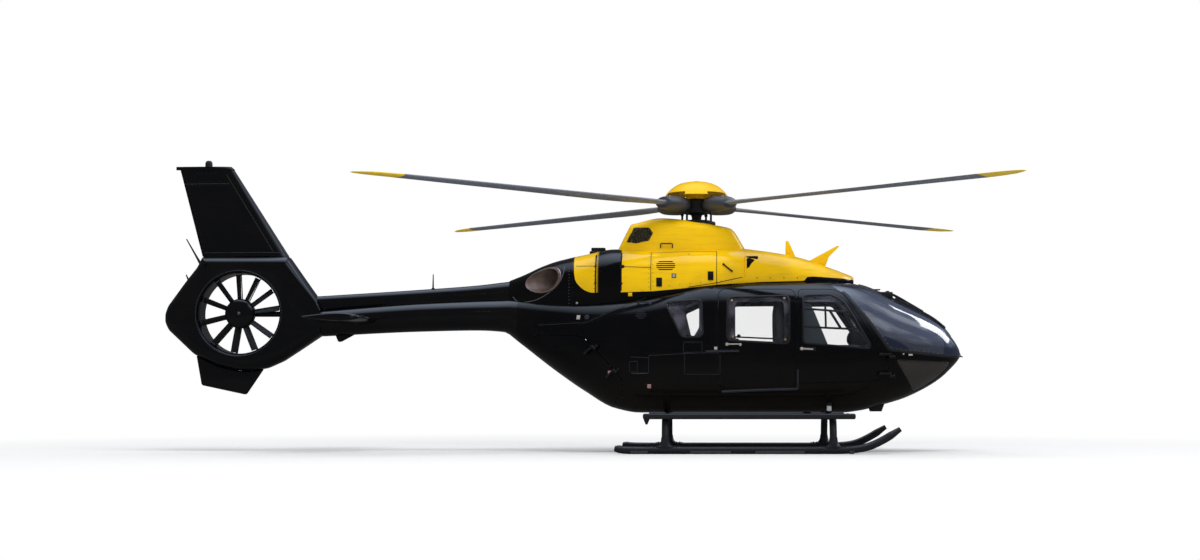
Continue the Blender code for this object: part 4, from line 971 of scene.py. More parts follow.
# Near-black: real soot on the pipes, painted shade in the intake throats and louvre slots, and the
# band's seam lines
soot_and_painted_shade = dull("soot_and_painted_shade", (0.006, 0.0055, 0.005), 0.9)
machine = dull("machine_casing", (0.12, 0.12, 0.125), 0.5, 0.6)
skid_black = dull("skid_paint", (0.017, 0.018, 0.022), 0.35, 0.1, 0.0003, 60.0)
seam_grey = dull("seam_sealant", (0.020, 0.021, 0.024), 0.55)
seam_dark = dull("seam_shadow", (0.010, 0.009, 0.006), 0.6)
latch_black = dull("latch_black", (0.012, 0.012, 0.013), 0.4, 0.3)
latch_light = dull("latch_alloy", (0.55, 0.52, 0.46), 0.4, 0.3)
warm_stud = dull("bronze_stud", (0.42, 0.29, 0.17), 0.35, 0.5)
seat_shell = dull("seat_shell", (0.052, 0.070, 0.082), 0.40, 0.0, 0.0004, 30.0)
lamp_glass = dull("lamp_glass", (0.55, 0.56, 0.58), 0.15, 0.0, 0.0002, 40.0)
drain_pink = dull("drain_pink", (0.42, 0.24, 0.22), 0.5)
pink_lip = dull("warm_alloy", (0.42, 0.30, 0.27), 0.30, 0.8)
seam_light = dull("edge_sealant", (0.10, 0.10, 0.105), 0.45)
screen_dark = dull("screen_dark", (0.012, 0.016, 0.020), 0.10, 0.0, 0.0, 30.0)
grille_mesh = mesh_screen("grille_mesh")


# Body wall, doors and windows

# Each door's outline, and each window's outline, material and body
CREW_OUTLINE = rounded(CREW_DOOR, 0.06)
SLIDING_OUTLINE = rounded(SLIDING_DOOR, 0.10)
WINDOWS = {
    "crew_window": (rounded(CREW_WINDOW, 0.05), side_glass, "crew_door_{}"),
    "sliding_window": (rounded(SLIDING_WINDOW, 0.07), side_glass, AIRFRAME),
    "aft_window": (rounded(AFT_WINDOW, 0.07), side_glass, AIRFRAME),
    "chin_window": (rounded(CHIN_WINDOW, 0.05), chin_screen, AIRFRAME),
    "windshield": (rounded(WINDSHIELD, 0.04), screen, AIRFRAME),
}


def line_inside(obj):
    """Gives the faces inside the wall the cabin's lining."""
    obj.data.materials.append(lining)
    for polygon in obj.data.polygons:
        if body_form.holds(polygon.center, WALL / 3):
            polygon.material_index = 1
    return obj


def within(name, source, outline, low=SEEN_FROM, high=SEEN_TO, material=None):
    """The part of a wall inside an outline, between two y values."""
    panel = copy_of(source, name, material)
    return combine(panel, prism("outline", outline, low, high), "INTERSECT")


def body_solid(name, inset=0.0, front=body_form.front, rear=body_form.rear, material=None):
    """A solid of the body's form, with its rings closer together in the nose."""
    places = cuts(front, rear, 0.075, 4.1, 22)
    return loft(name, [body_form.ring(x, inset, 84) for x in places], material)


def divide(wall):
    """Parts the wall into nose, belly, sides and roof, where the frame's panels meet."""
    tail, ahead, below, above = -0.86, 5.0, 0.3, 2.6
    sides = ((TAIL_SEAM_X, BELLY_SEAM_Z), (NOSE_SEAM_X, BELLY_SEAM_Z), *reversed(ROOF_SEAM))
    roof = ((tail, BELLY_SEAM_Z), (TAIL_SEAM_X, BELLY_SEAM_Z), *ROOF_SEAM, (NOSE_SEAM_X, above),
            (tail, above))
    belly = ((tail, below), (NOSE_SEAM_X, below), (NOSE_SEAM_X, BELLY_SEAM_Z),
             (tail, BELLY_SEAM_Z))
    nose = ((NOSE_SEAM_X, below), (ahead, below), (ahead, above), (NOSE_SEAM_X, above))
    panels = (
        ("nose_panel", nose, -1, 1), ("belly_panel", belly, -1, 1), ("roof_panel", roof, -1, 1),
        ("side_panel_left", sides, 0, 1), ("side_panel_right", sides, -1, 0),
    )
    for name, outline, low, high in panels:
        panel = within(name + "_skin", wall, grown(outline, -GAP), low, high)
        dress(line_inside(smooth(panel)), AIRFRAME, "black_paint", name)
    bpy.data.objects.remove(wall)


def make_body():
    """The hollow wall with its doorways and windows, and the doors cut out of it."""
    skin = cut(body_solid("skin", material=scheme),
               body_solid("cavity", WALL, CAVITY_FRONT, CAVITY_REAR))
    doors = []
    for stem, outline, body in (("crew", CREW_OUTLINE, "crew_door_{}"),
                                ("sliding", SLIDING_OUTLINE, AIRFRAME)):
        door = within(stem, skin, outline)
        cut(door, prism("window", WINDOWS[f"{stem}_window"][0], SEEN_FROM, SEEN_TO))
        doors.append((f"{stem}_door", door, body))
    clam = within("clam", skin, CLAMSHELL, DOOR_GAP / 2)
    doors.append(("clamshell", clam, "clamshell_{}"))
    for outline in (CREW_OUTLINE, SLIDING_OUTLINE, CLAMSHELL):
        cut(skin, prism("doorway", grown(outline, DOOR_GAP), -SEEN_TO, SEEN_TO))
    for side in (-1, 1):
        for stem, near in (("aft_window", SEEN_FROM), ("chin_window", SEEN_FROM),
                           ("windshield", POST_HALF)):
            cut(skin, prism(stem, WINDOWS[stem][0], near * side, SEEN_TO * side))
    divide(skin)
    for stem, door, body in doors:
        dress_pair(line_inside(smooth(door)), f"{stem}_skin", body, "black_paint", stem + "_{}")


def make_panes():
    """Each window's pane, a little inside the wall's surface."""
    pane_skin = cut(body_solid("pane_skin", PANE_DEPTH, rear=0.9),
                    body_solid("pane_inside", PANE_DEPTH + PANE, 4.88, 0.95))
    for stem, (outline, material, body) in WINDOWS.items():
        near = POST_HALF + GAP if stem == "windshield" else SEEN_FROM
        pane = within("pane", pane_skin, grown(outline, -GAP), near, material=material)
        dress_pair(smooth(pane), f"{stem}_pane", body, "acrylic", stem + "_{}")
    bpy.data.objects.remove(pane_skin)


def make_gaskets():
    """Rubber round each window of the sides, narrower round the chin windows."""
    for stem, width in (("crew_window", 0.022), ("sliding_window", 0.022), ("aft_window", 0.022),
                        ("chin_window", 0.007)):
        outline, _, body = WINDOWS[stem]
        for hand, side in SIDES:
            seal = side_strip("seal", body_form, outline, side, width, 0.003, True, 0.012)
            gather(f"{stem}_seal_{hand}", [seal], rubber, body.format(hand))


# Roof

def hollow(name, form, material, **loft_settings):
    """A cowling with closed ends, made of its own wall."""
    whole = form_loft(name, form, material=material, **loft_settings)
    inner = form_loft("inner", form, COWL_WALL, form.front - COWL_WALL, form.rear + COWL_WALL,
                      **loft_settings)
    return cut(whole, inner)


def centre_plate(name, outline, half, ease, material, slot):
    """A thin upright plate on the centre plane."""
    dress(smooth(eased(prism(name, outline, -half, half, material), ease)), AIRFRAME, slot)


def make_roof_fairing(body):
    """The fairing ahead of the mast with its air intakes, antenna and wire cutter."""
    fairing = cut(hollow("roof_fairing_skin", roof_form, scheme, count=64), body, keep=True)
    for side in (1, -1):
        cut(fairing, prism("intake", intake_outline(), side * 0.40, side * 0.70))
    dress(smooth(fairing), AIRFRAME, "yellow_paint", "front_roof_fairing")
    centre_plate("blade_antenna", BLADE_ANTENNA, 0.011, 0.006, yellow, "yellow_paint")
    centre_plate("wire_cutter", rounded(WIRE_CUTTER, 0.02, 4), 0.010, 0.005, yellow,
                 "yellow_paint")


def make_engine_cowls(body):
    """The cowling over both engines, parted down the middle."""
    cowl = cut(hollow("cowl", cowl_form, scheme, count=80), body, keep=True)
    cut(cowl, block("gearbox_way", (0.95, -0.27, 2.40), (1.98, 0.27, 2.80)))
    for hand, side in SIDES:
        half = copy_of(cowl, f"engine_cowling_skin_{hand}")
        cut(half, block("other_side", (-1, -side * 1.0, 1), (3, side * GAP / 2, 3)))
        dress(smooth(half), AIRFRAME, "yellow_paint", f"engine_cowling_{hand}")
    bpy.data.objects.remove(cowl)


def make_hump():
    """The cowling round the gearbox, open for the mast."""
    hump = hollow("transmission_cowling_skin", hump_form, yellow, count=80, step=0.02)
    cut(hump, form_loft("cowls", cowl_form, -GAP), form_loft("fairing", roof_form, -GAP),
        cylinder("mast_way", (MAST.x, 0, 2.6), (MAST.x, 0, 3.2), 0.26, sides=64))
    dress(smooth(hump), AIRFRAME, "yellow_paint", "transmission_cowling")


def make_exhausts(body):
    """The fairing behind the engines, and the pipes that come out of it."""
    fairing = cut(hollow("exhaust_fairing_skin", tail_form, scheme, count=80), body, keep=True)
    cut(fairing, form_loft("boom", boom_form, -GAP), form_loft("cover", cover_form, -GAP))
    start = EXHAUST_MOUTH - EXHAUST_DIRECTION * 0.31
    end = EXHAUST_MOUTH + EXHAUST_DIRECTION * 0.32
    pipe = cylinder("pipe", start, end, EXHAUST_RADIUS, burnt, 64)
    combine(pipe, form_loft("lip_surface", tail_form, -0.012, count=80), "INTERSECT")
    cut(pipe, cylinder("bore", start + EXHAUST_DIRECTION * 0.012, end, EXHAUST_RADIUS - 0.008,
                       sides=64))
    for side in (1, -1):
        flip = Vector((1, side, 1))
        cut(fairing, cylinder("pocket", start * flip, end * flip, EXHAUST_RADIUS + 0.004,
                              sides=64))
    dress(smooth(fairing), AIRFRAME, "black_paint", "exhaust_fairing")
    dress_pair(smooth(pipe), "exhaust_pipe", AIRFRAME, "burnt_metal", "exhaust_{}")


# Tail

def open_tube(name, form):
    """A black tube of the cowling's thickness, open at both ends."""
    places = cuts(form.front, form.rear, 0.06)
    outer = [form.ring(x, 0.0, 64) for x in places]
    inner = [form.ring(x, COWL_WALL, 64) for x in reversed(places)]
    return loft(name, outer + inner, black, looped=True)


def shroud_way():
    return prism("shroud_way", grown(SHROUD, GAP), -0.5, 0.5)


def make_boom():
    """The boom, and the cover over the drive shaft with its whip antenna."""
    boom = smooth(open_tube("tail_boom_skin", boom_form))
    dress(boom, AIRFRAME, "black_paint", "tail_boom")
    centre_plate("boom_antenna", rounded(BOOM_ANTENNA, 0.02, 4), 0.010, 0.005, black,
                 "black_paint")
    cover = open_tube("shaft_cover_skin", cover_form)
    cut(cover, form_loft("boom", boom_form, -GAP), shroud_way())
    dress(smooth(cover), AIRFRAME, "black_paint", "shaft_cover")
    foot = cylinder("foot", (-1.87, 0, 2.04), (-1.87, 0, 2.10), 0.020, bevel=0.005)
    gather("whip_foot", [foot], rubber)
    whip = cylinder("whip", (-1.87, 0, 2.09), (-1.87, 0, 2.275), 0.011, end_radius=0.006,
                    bevel=0.002)
    gather("whip_antenna", [whip], rubber)


def shroud_ring(inset, y):
    """The shroud's outline moved in, except where it meets the boom, at one y."""
    ring = []
    outline = resampled(rounded(SHROUD, 0.03, 3), 0.04, True)
    for before, after in zip(outline, grown(outline, -inset)):
        share = min(max((before.x + 3.80) / 0.40, 0.0), 1.0)
        ring.append((after.x + (before.x - after.x) * share, y, after.y))
    return ring


def make_shroud():
    """The ring round the fan, with soft edges, its bore, and the inlet's lip at starboard."""
    half, edge = SHROUD_HALF, 0.13
    levels = [(edge * (1 - math.cos(a)), half - edge * (1 - math.sin(a)))
              for a in np.linspace(math.pi / 2, 0, 10)]
    levels.sort(key=lambda level: -level[1])
    rings = [shroud_ring(inset, y) for inset, y in levels]
    rings += [shroud_ring(inset, -y) for inset, y in reversed(levels)]
    shroud = loft("fan_shroud_skin", rings, black)
    profile = [(1e-3, half + 0.05), (LIP_RADIUS, half + 0.05)]
    for angle in np.linspace(math.pi / 2, 0, 14):
        profile.append((LIP_RADIUS - (LIP_RADIUS - DUCT_RADIUS) * math.cos(angle),
                        half + 0.001 - 0.10 * (1 - math.sin(angle))))
    profile += [(DUCT_RADIUS, -half - 0.05), (1e-3, -half - 0.05)]
    cut(shroud, turned("bore", profile, DUCT, steps=96, axis=(0, -1, 0)))
    dress(smooth(shroud, 40), AIRFRAME, "black_paint", "fan_shroud")


def airfoil_half(s, thickness):
    """Half the thickness at a share of the chord, of a four-digit symmetric section."""
    return max(5 * thickness * (0.2969 * math.sqrt(s) - 0.126 * s - 0.3516 * s ** 2
                                + 0.2843 * s ** 3 - 0.1015 * s ** 4), HALF_EDGE)


def airfoil(chord, thickness, points=18):
    """A closed symmetric (along, across) section, leading edge at 0."""
    upper = []
    for i in range(points + 1):
        s = 0.5 * (1 - math.cos(math.pi * i / points))
        upper.append((s * chord, airfoil_half(s, thickness)))
    lower = [(s, -half) for s, half in reversed(upper)]
    return upper + lower


def fin_ring(trailing, leading, z, thickness):
    section = airfoil(leading - trailing, thickness)
    return [(leading - along, across, z) for along, across in section]


def fin_at(s):
    """The fin's trailing and leading edge, height and thickness, at a share of its height."""
    ends = zip((*FIN_ROOT, FIN_THICKNESS[0]), (*FIN_TIP, FIN_THICKNESS[1]))
    return [root + (tip - root) * s for root, tip in ends]


def make_fins():
    """The fin with its cap and lamp, and the fin below the shroud."""
    rings = [fin_ring(*fin_at(s)) for s in np.linspace(0, 1, 12)]
    dress(smooth(loft("tail_fin_skin", rings, black), 50), AIRFRAME, "black_paint", "tail_fin")
    low = (FIN_TIP[0] - 0.055, FIN_TIP[1] + 0.01, FIN_TIP[2] + GAP)
    high = (FIN_TIP[0] - 0.055, FIN_TIP[1] - 0.04, FIN_TIP[2] + 0.045)
    cap = loft("fin_cap_skin", [fin_ring(*low, 0.10), fin_ring(*high, 0.07)], black)
    dress(smooth(eased(cap, 0.008), 50), AIRFRAME, "black_paint", "fin_cap")
    profile = ((0.046, 3.66), (0.046, 3.70), (0.044, 3.715), (0.038, 3.73), (0.027, 3.741),
               (0.010, 3.7449))
    gather("fin_light", [turned("lamp", profile, (-4.78, 0, 0))], rubber)
    ventral = cut(prism("ventral_fin_skin", VENTRAL, -0.045, 0.045, black), shroud_way())
    dress(smooth(eased(ventral, 0.025, 5)), AIRFRAME, "black_paint", "ventral_fin")


def make_stabiliser():
    """The two halves of the stabiliser, with rounded tips."""
    rear, front, z, half_span = -3.33, -2.57, 1.672, 1.325
    rings = []
    for y, share in ((0.10, 1.0), (0.6, 1.0), (1.25, 1.0), (1.29, 0.97), (1.315, 0.90),
                     (half_span, 0.72)):
        chord, middle = (front - rear) * share, (front + rear) / 2
        rings.append([(middle + chord / 2 - along, y, z + across)
                      for along, across in airfoil(chord, 0.10 * share)])
    plank = cut(loft("plank", rings, black), form_loft("boom", boom_form, -GAP), shroud_way())
    dress_pair(smooth(plank, 50), "stabiliser_skin", AIRFRAME, "black_paint", "stabiliser_{}")


def spoke(name, angle, sections, y):
    """A blade out from the duct's middle through (radius, width, thickness, pitch) sections."""
    turn = Matrix.Rotation(math.radians(-angle), 3, "Y")
    rings = []
    for radius, width, thickness, pitch in sections:
        lean = math.radians(pitch)
        ring = []
        for along, v in airfoil(width, thickness, 8):
            u = along - width / 2
            across_y = u * math.sin(lean) + v * math.cos(lean)
            across_z = u * math.cos(lean) - v * math.sin(lean)
            ring.append(DUCT + turn @ Vector((radius, 0, across_z))
                        + Vector((0, y + across_y, 0)))
        rings.append(ring)
    return loft(name, rings)


def make_tail_fan():
    """The fan, and the fixed vanes that carry it and its gearbox."""
    hub = ((0.004, 0.060), (0.06, 0.059), (0.10, 0.055), (0.14, 0.047), (0.172, 0.033),
           (0.186, 0.016), (0.19, -0.004), (0.19, -0.06), (0.004, -0.06))
    centre = DUCT + Vector((0, -0.09, 0))
    cap = turned("tail_fan_hub", hub, centre, black, 64, (0, -1, 0))
    dress(smooth(cap), "tail_fan", "fan_metal", "tail_fan")
    sections = ((0.16, 0.075, 0.020, 34), (0.24, 0.080, 0.016, 38), (0.38, 0.082, 0.012, 32),
                (0.502, 0.080, 0.010, 26))
    blades = [spoke("blade", a, sections, -0.07) for a in FAN_ANGLES]
    gather("tail_fan_blades", blades, fan_black, "tail_fan", "fan_metal", 50)
    housing = ((0.004, 0.01), (0.12, 0.01), (0.14, 0.018), (0.15, 0.035), (0.15, 0.125),
               (0.135, 0.145), (0.10, 0.158), (0.004, 0.162))
    case = turned("fan_gearbox_case", housing, DUCT, black, 48, (0, 1, 0))
    dress(smooth(case), AIRFRAME, "black_paint", "fan_stator")
    vane = ((0.13, 0.066, 0.014, 78), (0.3, 0.066, 0.012, 78),
            (DUCT_RADIUS - 0.002, 0.064, 0.011, 78))
    gather("fan_vanes", [spoke("vane", a, vane, 0.085) for a in FAN_ANGLES], black, angle=50)
    drive = cylinder("drive", DUCT + Vector((0.12, 0.08, 0)),
                     DUCT + Vector((DUCT_RADIUS - 0.002, 0.08, 0)), 0.035)
    gather("fan_drive_tube", [drive], black)


# Main rotor

LEADING = 0.10
TRAILING = LEADING - BLADE_CHORD
BLADE_SECTIONS = (
    (0.57, LEADING - 0.030, TRAILING + 0.100, 0.058, 6),
    (0.66, LEADING - 0.025, TRAILING + 0.090, 0.056, 6),
    (0.85, LEADING - 0.012, TRAILING + 0.060, 0.051, 6),
    (1.10, LEADING, TRAILING + 0.030, 0.046, 6), (1.35, LEADING, TRAILING + 0.010, 0.044, 5.5),
    (1.60, LEADING, TRAILING, 0.042, 5), (2.40, LEADING, TRAILING, 0.040, 3.5),
    (3.30, LEADING, TRAILING, 0.038, 2), (4.00, LEADING, TRAILING, 0.036, 1),
    (YELLOW_FROM, LEADING, TRAILING, 0.034, 0),
    (ROTOR_RADIUS - 0.36, LEADING - 0.022, TRAILING, 0.030, 0),
    (ROTOR_RADIUS - 0.18, LEADING - 0.060, TRAILING + 0.010, 0.026, 0),
    (ROTOR_RADIUS - 0.06, LEADING - 0.120, TRAILING + 0.035, 0.015, 0),
    (ROTOR_RADIUS, LEADING - 0.160, TRAILING + 0.064, 0.010, 0),
)
CUFF_SECTIONS = (
    (0.172, 0.070, 0.070), (0.20, 0.088, 0.082), (0.25, 0.122, 0.093), (0.30, 0.148, 0.099),
    (0.38, 0.158, 0.098), (0.46, 0.159, 0.092), (0.54, 0.152, 0.083), (0.580, 0.143, 0.077),
    (0.592, 0.138, 0.073), (0.598, 0.128, 0.064),
)


def rotor_place(angle):
    return Matrix.Translation(MAST) @ Matrix.Rotation(math.radians(angle), 4, "Z")


def make_blade(number, angle):
    """A blade in two materials: the blade itself, and the cuff round its root."""
    rings = []
    for radius, leading, trailing, thickness, twist in BLADE_SECTIONS:
        turn = math.radians(twist)
        ring = []
        for along, across in airfoil(leading - trailing, thickness, 14):
            y, z = leading - along, across
            ring.append((radius, y * math.cos(turn) - z * math.sin(turn),
                         y * math.sin(turn) + z * math.cos(turn)))
        rings.append(ring)
    blade = loft(f"blade_{number}_skin", rings, blade_grey)
    blade.data.transform(rotor_place(angle))
    dress(smooth(blade, 50), ROTOR, "blade_paint", f"rotor_blade_{number}")
    rings = [[(r, w * math.cos(a), h * math.sin(a))
              for a in circle(32)]
             for r, w, h in CUFF_SECTIONS]
    cuff = loft(f"blade_{number}_cuff", rings, cuff_grey)
    cuff.data.transform(rotor_place(angle))
    dress(smooth(cuff, 50), ROTOR, "blade_paint")


def make_rotor():
    """The mast and hub, its dome, the swashplate with its links, and the four blades."""
    hub = ((0.004, 0.08), (0.145, 0.08), (0.158, 0.074), (0.165, 0.062), (0.168, 0.05),
           (0.168, -0.085), (0.16, -0.10), (0.145, -0.11), (0.085, -0.115), (0.068, -0.13),
           (0.062, -0.16), (0.061, 2.8003 - MAST.z), (0.004, 2.8003 - MAST.z))
    dress(smooth(turned("mast_and_hub", hub, MAST, dark_steel, 64)), ROTOR, "hub_metal",
          "rotor_mast")
    outer = [(0.0035, 0.319), (0.028, 0.319), (0.035, 0.316), (0.040, 0.3095), (0.080, 0.3075),
             (0.125, 0.302), (0.170, 0.293), (0.217, 0.2795), (0.260, 0.260), (0.300, 0.2345),
             (0.335, 0.205), (0.365, 0.1745), (0.390, 0.145), (0.405, 0.124), (0.411, 0.112)]
    inner = [(0.402, 0.112), (0.392, 0.124), (0.370, 0.150), (0.330, 0.190), (0.270, 0.234),
             (0.170, 0.272), (0.09, 0.286), (0.09, 0.0803), (0.0035, 0.0803)]
    dome = turned("hub_dome_skin", outer + inner, MAST, yellow, 96)
    for angle in BLADE_ANGLES:
        way = block("cuff_way", (0.20, -0.165, 0.0), (0.50, 0.165, 0.150), bevel=0.02)
        way.data.transform(rotor_place(angle))
        cut(dome, way)
    dress(smooth(dome), ROTOR, "yellow_paint", "hub_dome")
    disk = ((0.063, 0.0), (0.115, 0.0), (0.125, 0.008), (0.19, 0.008), (0.20, 0.0),
            (0.236, -0.006), (0.245, -0.016), (0.245, -0.040), (0.236, -0.050), (0.20, -0.056),
            (0.115, -0.06), (0.063, -0.06))
    swash = turned("swashplate_ring", disk, (MAST.x, 0, 2.955), dark_steel, 64, looped=True)
    dress(smooth(swash), ROTOR, "hub_metal", "swashplate")
    links = []
    rod_end = ((0.004, 0.014), (0.018, 0.013), (0.023, 0.006), (0.023, -0.006), (0.018, -0.013),
               (0.004, -0.014))
    for angle in BLADE_ANGLES:
        turn = Matrix.Rotation(math.radians(angle + 12), 4, "Z")
        place_ = Matrix.Translation((MAST.x, 0, 0)) @ turn
        foot, head = place_ @ Vector((0.222, 0, 2.93)), place_ @ Vector((0.222, 0, 3.055))
        links.append(cylinder("link", foot, head, 0.014, sides=16))
        for z in (2.935, 3.050):
            links.append(turned("rod_end", rod_end, place_ @ Vector((0.222, 0, z)), steps=16,
                                axis=place_.to_3x3() @ Vector((1, 0, 0))))
    gather("pitch_links", links, dark_steel, ROTOR, "hub_metal")
    for number, angle in enumerate(BLADE_ANGLES, 1):
        make_blade(number, angle)


# Landing gear

def make_skids():
    """The skid tubes, turned up at the front, with closed ends."""
    corners = [(x, HALF_TRACK, z) for x, z in ((0.575, 0.060), (0.66, SKID_RADIUS),
                                               (3.37, SKID_RADIUS), (3.62, 0.075),
                                               (3.84, 0.180), (4.03, 0.305))]
    path = resampled(rounded_path(corners, 0.2, 8), 0.2)
    path = [Vector((0.52, HALF_TRACK, 0.065)), Vector((0.53, HALF_TRACK, 0.0635))] + path
    radii = [0.022, 0.038] + [SKID_RADIUS] * (len(path) - 4) + [0.044, 0.030]
    skid = tube("skid", path, radii, skid_black, 28)
    dress_pair(smooth(skid), "skid_tube", AIRFRAME, "skid_paint", "skid_{}")


def make_cross_tube(name, x):
    """A bow from skid to skid, whose feet flare out into saddles over the skid tubes."""
    radius = 0.045
    z = BELLY_Z - radius - GAP
    half = [(HALF_TRACK, 0.085), (0.975, 0.27), (0.90, 0.44), (0.72, z), (0.0, z)]
    side = rounded_path([(x, y, height) for y, height in half], 0.12, 8)
    path = side[:-1] + [Vector((p.x, -p.y, p.z)) for p in reversed(side)]
    bow = smooth(tube(name + "_bow", path, radius, skid_black, 28))
    dress(bow, AIRFRAME, "skid_paint", name)
    for hand, hand_side in SIDES:
        y = hand_side * HALF_TRACK
        profile = [(0.175, 0.0), (0.165, 0.010), (0.13, 0.016), (0.09, 0.026), (0.066, 0.048),
                   (0.054, 0.080), (0.049, 0.125)]
        rings = []
        for reach, height in profile:
            rings.append([(x + reach * math.cos(a), y + min(reach, 0.056) * math.sin(a),
                           SKID_RADIUS + 0.030 + height)
                          for a in circle(40)])
        flare = loft("flare", rings)
        sleeve = tube("sleeve", [(x - 0.18, y, SKID_RADIUS), (x + 0.18, y, SKID_RADIUS)],
                      0.0535, sides=32)
        cut(sleeve, block("below", (x - 1, y - 0.1, -0.1), (x + 1, y + 0.1, SKID_RADIUS - 0.01)))
        gather(f"{name}_saddle_{hand}", [flare, sleeve], skid_black, slot="skid_paint")


def make_steps():
    """A step bar along each side, with brackets to the cross tubes."""
    for hand, side in SIDES:
        low, high = Vector((0.87, 0.935, 0.425)), Vector((3.48, 1.060, 0.495))
        bar = block(f"step_bar_{hand}", low, high, skid_black, 0.022, 4)
        bar.data.transform(Matrix.Scale(side, 4, (0, 1, 0)))
        if side < 0:
            bar.data.flip_normals()
        dress(smooth(bar), AIRFRAME, "skid_paint", f"step_{hand}")
        brackets = [block("bracket", (x - 0.05, side * 0.80, 0.462),
                          (x + 0.05, side * 0.965, 0.488), bevel=0.006) for x in CROSS_TUBES_X]
        gather(f"step_brackets_{hand}", brackets, skid_black, slot="skid_paint")


# Nodes that keep their own shape

def finish_nodes():
    """A finish for each node that no piece stands for."""
    looks = {"engine_left": machine, "engine_right": machine, "gearbox": machine,
             "cabin_floor": carpet, "instrument_console": trim}
    for name, material in looks.items():
        for slot in bpy.data.objects[name].material_slots:
            slot.material = material


# The stage

def make_stage():
    """A wide pale floor that fades to white far out, seen from any side."""
    bm = bmesh.new()
    bmesh.ops.create_circle(bm, cap_ends=True, segments=128, radius=150.0)
    bmesh.ops.translate(bm, vec=(1.0, 0.0, -0.0005), verts=bm.verts)
    floor = from_bmesh("floor", bm)
    material, tree, shader = material_of("studio_floor", (0.86, 0.86, 0.86), 0.9)
    shader.inputs["Specular IOR Level"].default_value = 0.0
    path = node(tree, "ShaderNodeLightPath")
    seen = path.outputs["Is Camera Ray"]
    reach = node(tree, "ShaderNodeVectorMath", {0: place(tree)}, operation="LENGTH")
    far = spread(tree, reach.outputs["Value"], 0.0, 1.0, 5.5, 13.0)
    pale = mixed(tree, far, (0.88, 0.88, 0.88), (0.0, 0.0, 0.0))
    dim = mixed(tree, path.outputs["Is Diffuse Ray"], (0.10, 0.10, 0.10), (0.60, 0.60, 0.60))
    tree.links.new(mixed(tree, seen, dim, pale), shader.inputs["Base Color"])
    shader.inputs["Emission Color"].default_value = (1.0, 1.0, 1.0, 1.0)
    tree.links.new(sums(tree, "MULTIPLY", seen, far), shader.inputs["Emission Strength"])
    floor.data.materials.append(material)


def add_light(name, location, target, power, size, shape=0.6):
    """A soft box turned to a target. Its shape is the share of its height to its width."""
    light = bpy.data.lights.new(name, "AREA")
    light.energy = power
    light.shape = "RECTANGLE"
    light.size = size
    light.size_y = size * shape
    obj = bpy.data.objects.new(name, light)
    bpy.context.scene.collection.objects.link(obj)
    obj.location = location
    obj.rotation_euler = (Vector(target) - Vector(location)).to_track_quat("-Z", "Y").to_euler()
    return obj


def make_lights():
    """Soft boxes, and a sky that is white to see and to light with, but dim in the paint."""
    world = bpy.data.worlds.new("studio")
    bpy.context.scene.world = world
    world.use_nodes = True
    tree = world.node_tree
    background = tree.nodes["Background"]
    direction = node(tree, "ShaderNodeTexCoord").outputs["Generated"]
    parts = node(tree, "ShaderNodeSeparateXYZ", {"Vector": direction})
    ahead, height = parts.outputs["X"], parts.outputs["Z"]
    sky = mixed(tree, spread(tree, height, 0.0, 1.0, 0.75, 1.0), (0.085, 0.085, 0.09),
                (2.3, 2.7, 3.4))
    path = node(tree, "ShaderNodeLightPath")
    billows = node(tree, "ShaderNodeTexNoise",
                   {"Vector": direction, "Scale": 3.2, "Detail": 5.0}).outputs["Fac"]
    front = sums(tree, "MULTIPLY", spread(tree, ahead, 0.0, 1.0, 0.25, 0.60),
                 spread(tree, height, 0.0, 1.0, 0.26, 0.50))
    sky = mixed(tree, front, sky, (0.45, 0.55, 0.82))
    cloud = sums(tree, "MULTIPLY", front, spread(tree, billows, 0.0, 1.0, 0.45, 0.62))
    sky = mixed(tree, cloud, sky, (1.8, 1.95, 2.3))
    lit = mixed(tree, path.outputs["Is Glossy Ray"], (0.80, 0.81, 0.83), sky)
    tree.links.new(mixed(tree, path.outputs["Is Camera Ray"], lit, (1.0, 1.0, 1.0)),
                   background.inputs["Color"])
    world.cycles.sampling_method = "NONE"
    add_light("key", (4, -12, 21), (0.5, 0, 1.6), 2300, 14).visible_glossy = False
    screen_box = add_light("screen_box", (14.5, 4.2, 9.9), (4.4, -0.5, 1.5), 950, 7.0, 0.95)
    screen_box.visible_diffuse = False


def make_camera():
    """The photograph's view, with the horizon kept level by the pitch."""
    data = bpy.data.cameras.new("camera")
    data.lens = FOCAL_LENGTH
    data.sensor_width = 36.0
    data.shift_x = SHIFT
    data.clip_end = 400.0
    camera = bpy.data.objects.new("camera", data)
    bpy.context.scene.collection.objects.link(camera)
    camera.location = CAMERA
    camera.rotation_euler = (math.pi / 2 + PITCH, 0.0, 0.0)
    bpy.context.scene.camera = camera


# Details of the body

def lines(form, side, rows, width, rise, closed=False):
    """A strip along each row."""
    return [side_strip("line", form, row, side, width, rise, closed) for row in rows]


def plate(form, x, z, side, size, thick=0.006, bevel=0.002):
    """A small bevelled plate on the side of a form, sunk a little into it."""
    point, normal = spot(form, x, z, side)
    up = (Vector((0, 0, 1)) - normal * normal.z).normalized()
    turn = Matrix((up.cross(normal), up, normal)).transposed().to_4x4()
    width, height = size
    made = block("plate", (-width / 2, -height / 2, -SUNK), (width / 2, height / 2, thick),
                 bevel=min(bevel, thick / 3))
    made.data.transform(Matrix.Translation(point) @ turn)
    return made


def disc(form, x, z, side, radius, thick=0.006):
    """A round head on the side of a form, sunk a little into it."""
    point, normal = spot(form, x, z, side)
    return cylinder("disc", point - normal * SUNK, point + normal * thick, radius, sides=24,
                    bevel=thick / 4)


